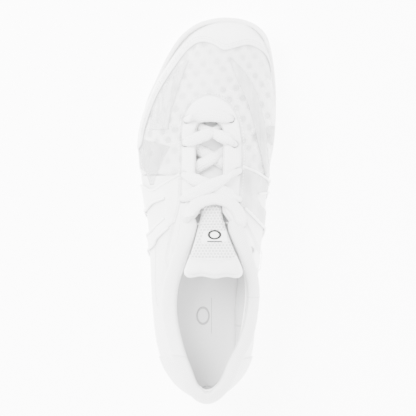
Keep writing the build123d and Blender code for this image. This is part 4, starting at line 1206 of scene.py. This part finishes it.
def stitched(name, lines, material, **sizes):
    # lines are lists of points in millimetres
    points, edges = [], []
    for line in lines:
        first = len(points)
        points += [tuple(float(v) * mm for v in point) for point in line]
        edges += [(k, k + 1) for k in range(first, len(points) - 1)]
    mesh = bpy.data.meshes.new(name)
    mesh.from_pydata(points, edges, [])
    holder = placed(name + "_path", mesh)
    tree = stitchTree(material)
    rowMaker = holder.modifiers.new("stitches", "NODES")
    rowMaker.node_group = tree
    for socket in tree.interface.items_tree:
        if socket.in_out == "INPUT" and socket.name in sizes:
            rowMaker[socket.identifier] = sizes[socket.name]
    bpy.context.view_layer.update()
    plain = bpy.data.meshes.new_from_object(holder.evaluated_get(bpy.context.evaluated_depsgraph_get()))
    bpy.data.objects.remove(holder)
    plain.shade_smooth()
    return placed(name, plain)


def onSkin(line, level, step=1.0):
    return [point + out * level for point, out in (onUpper(x, y) for x, y in smoothLine(line, step))
            if point[2] > 12]


capPath = smoothLine(capEdge, 1.0)
capPath = capPath[(np.abs(capPath[:, 0]) < 44)]
rowsOfCap = [[(x + (-0.15 if x < 5 else 0.15) * shift, y + shift) for x, y in capPath] for shift in (2.0, 3.6)]
eyestayRow = insetLoop(smoothLine(eyestayLoop[::3], 1.2, closed=True)[::-1], 1.5)
collarSeam = [upper[i, -14] + upperNormal[i, -14] * 0.1 for i in aroundHeel]
rootRows = [onSkin(row, 0.12) for row in rowsOfCap]
rootRows.append([point + out * 0.1 for point, out in (onUpper(x, y) for x, y in eyestayRow)])
rootRows.append(collarSeam)
rootRows.append(onSkin([(-35.0, -23), (-35.6, -32), (-35.8, -44), (-35.6, -56), (-34.4, -64)], -0.85))
rootRows.append(onSkin([(24.6, -5), (28, -14), (31.6, -22), (33.6, -30), (34.2, -38)], -0.85))
seams = stitched("upper_stitching", rootRows, threadWhite, Pitch=0.0021, Length=0.0017, Thickness=0.00032)
finishPiece(seams, "root", "synthetic_white")


def onTongue(points, level):
    done = []
    for x, y in points:
        spot, out = tonguePlane(x, y)
        done.append(spot + out * (level + swell(x, y)))
    return done


bandRow = onTongue(smoothLine([(-11.2, -33.6), (3, -34.5), (17.6, -33.6)], 1.0), 2.9)
tongueSeams = stitched("tongue_stitching", [bandRow], threadWhite, Pitch=0.0019, Length=0.0015,
                       Thickness=0.0003)
finishPiece(tongueSeams, "tongue_top", "label_white")
print("stitches ready")

# sole parts and hidden parts keep their CAD shape
for node, finishOf in (("outsole_forefoot", treadRubber), ("outsole_heel", treadRubber),
                       ("midfoot_shank", shankPlastic), ("strobel_board", boardCloth),
                       ("lace_aglets", shankPlastic)):
    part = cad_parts[node]
    part.data.materials.clear()
    part.data.materials.append(finishOf)


# room, light and camera
def stagePlane(size, material):
    mesh = bpy.data.meshes.new("floor")
    half = size / 2
    corners = [(x * half, y * half, 0) for x, y in ((-1, -1), (1, -1), (1, 1), (-1, 1))]
    mesh.from_pydata(corners, [], [(0, 1, 2, 3)])
    mesh.materials.append(material)
    floor = placed("floor", mesh)
    floor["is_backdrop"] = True


studio = {"distance": 1.4, "lens": 178.0, "sensor": 36.0, "floor": 6.0, "glow": 5.0, "key": 64.0, "fill": 29.0,
          "sky": 3.7, "target": (0, 0, 0.03)}
paper = bpy.data.materials.new("paper")
paper.use_nodes = True
for label, value in (("Base Color", (0.97, 0.97, 0.97, 1)), ("Roughness", 0.9),
                     ("Emission Color", (1, 1, 1, 1)), ("Emission Strength", studio["glow"])):
    paper.node_tree.nodes["Principled BSDF"].inputs[label].default_value = value
stagePlane(studio["floor"], paper)
world = bpy.data.worlds.new("room")
world.use_nodes = True
world.node_tree.nodes["Background"].inputs["Color"].default_value = (1.0, 1.0, 1.0, 1)
world.node_tree.nodes["Background"].inputs["Strength"].default_value = studio["sky"]
scene.world = world
for name, place, size, power in (("keyLight", (-0.7, 0.5, 1.1), 0.9, studio["key"]),
                                 ("fillLight", (0.9, -0.4, 1.0), 1.2, studio["fill"])):
    lamp = bpy.data.lights.new(name, "AREA")
    lamp.size = size
    lamp.energy = power
    holder = placed(name, lamp)
    holder.location = place
    holder.rotation_euler = (Vector(studio["target"]) - Vector(place)).to_track_quat("-Z", "Y").to_euler()
lensData = bpy.data.cameras.new("camera")
lensData.lens = studio["lens"]
lensData.sensor_width = studio["sensor"]
camera = placed("camera", lensData)
camera.location = (0.0, 0.0, studio["distance"])
scene.camera = camera

low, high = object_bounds()
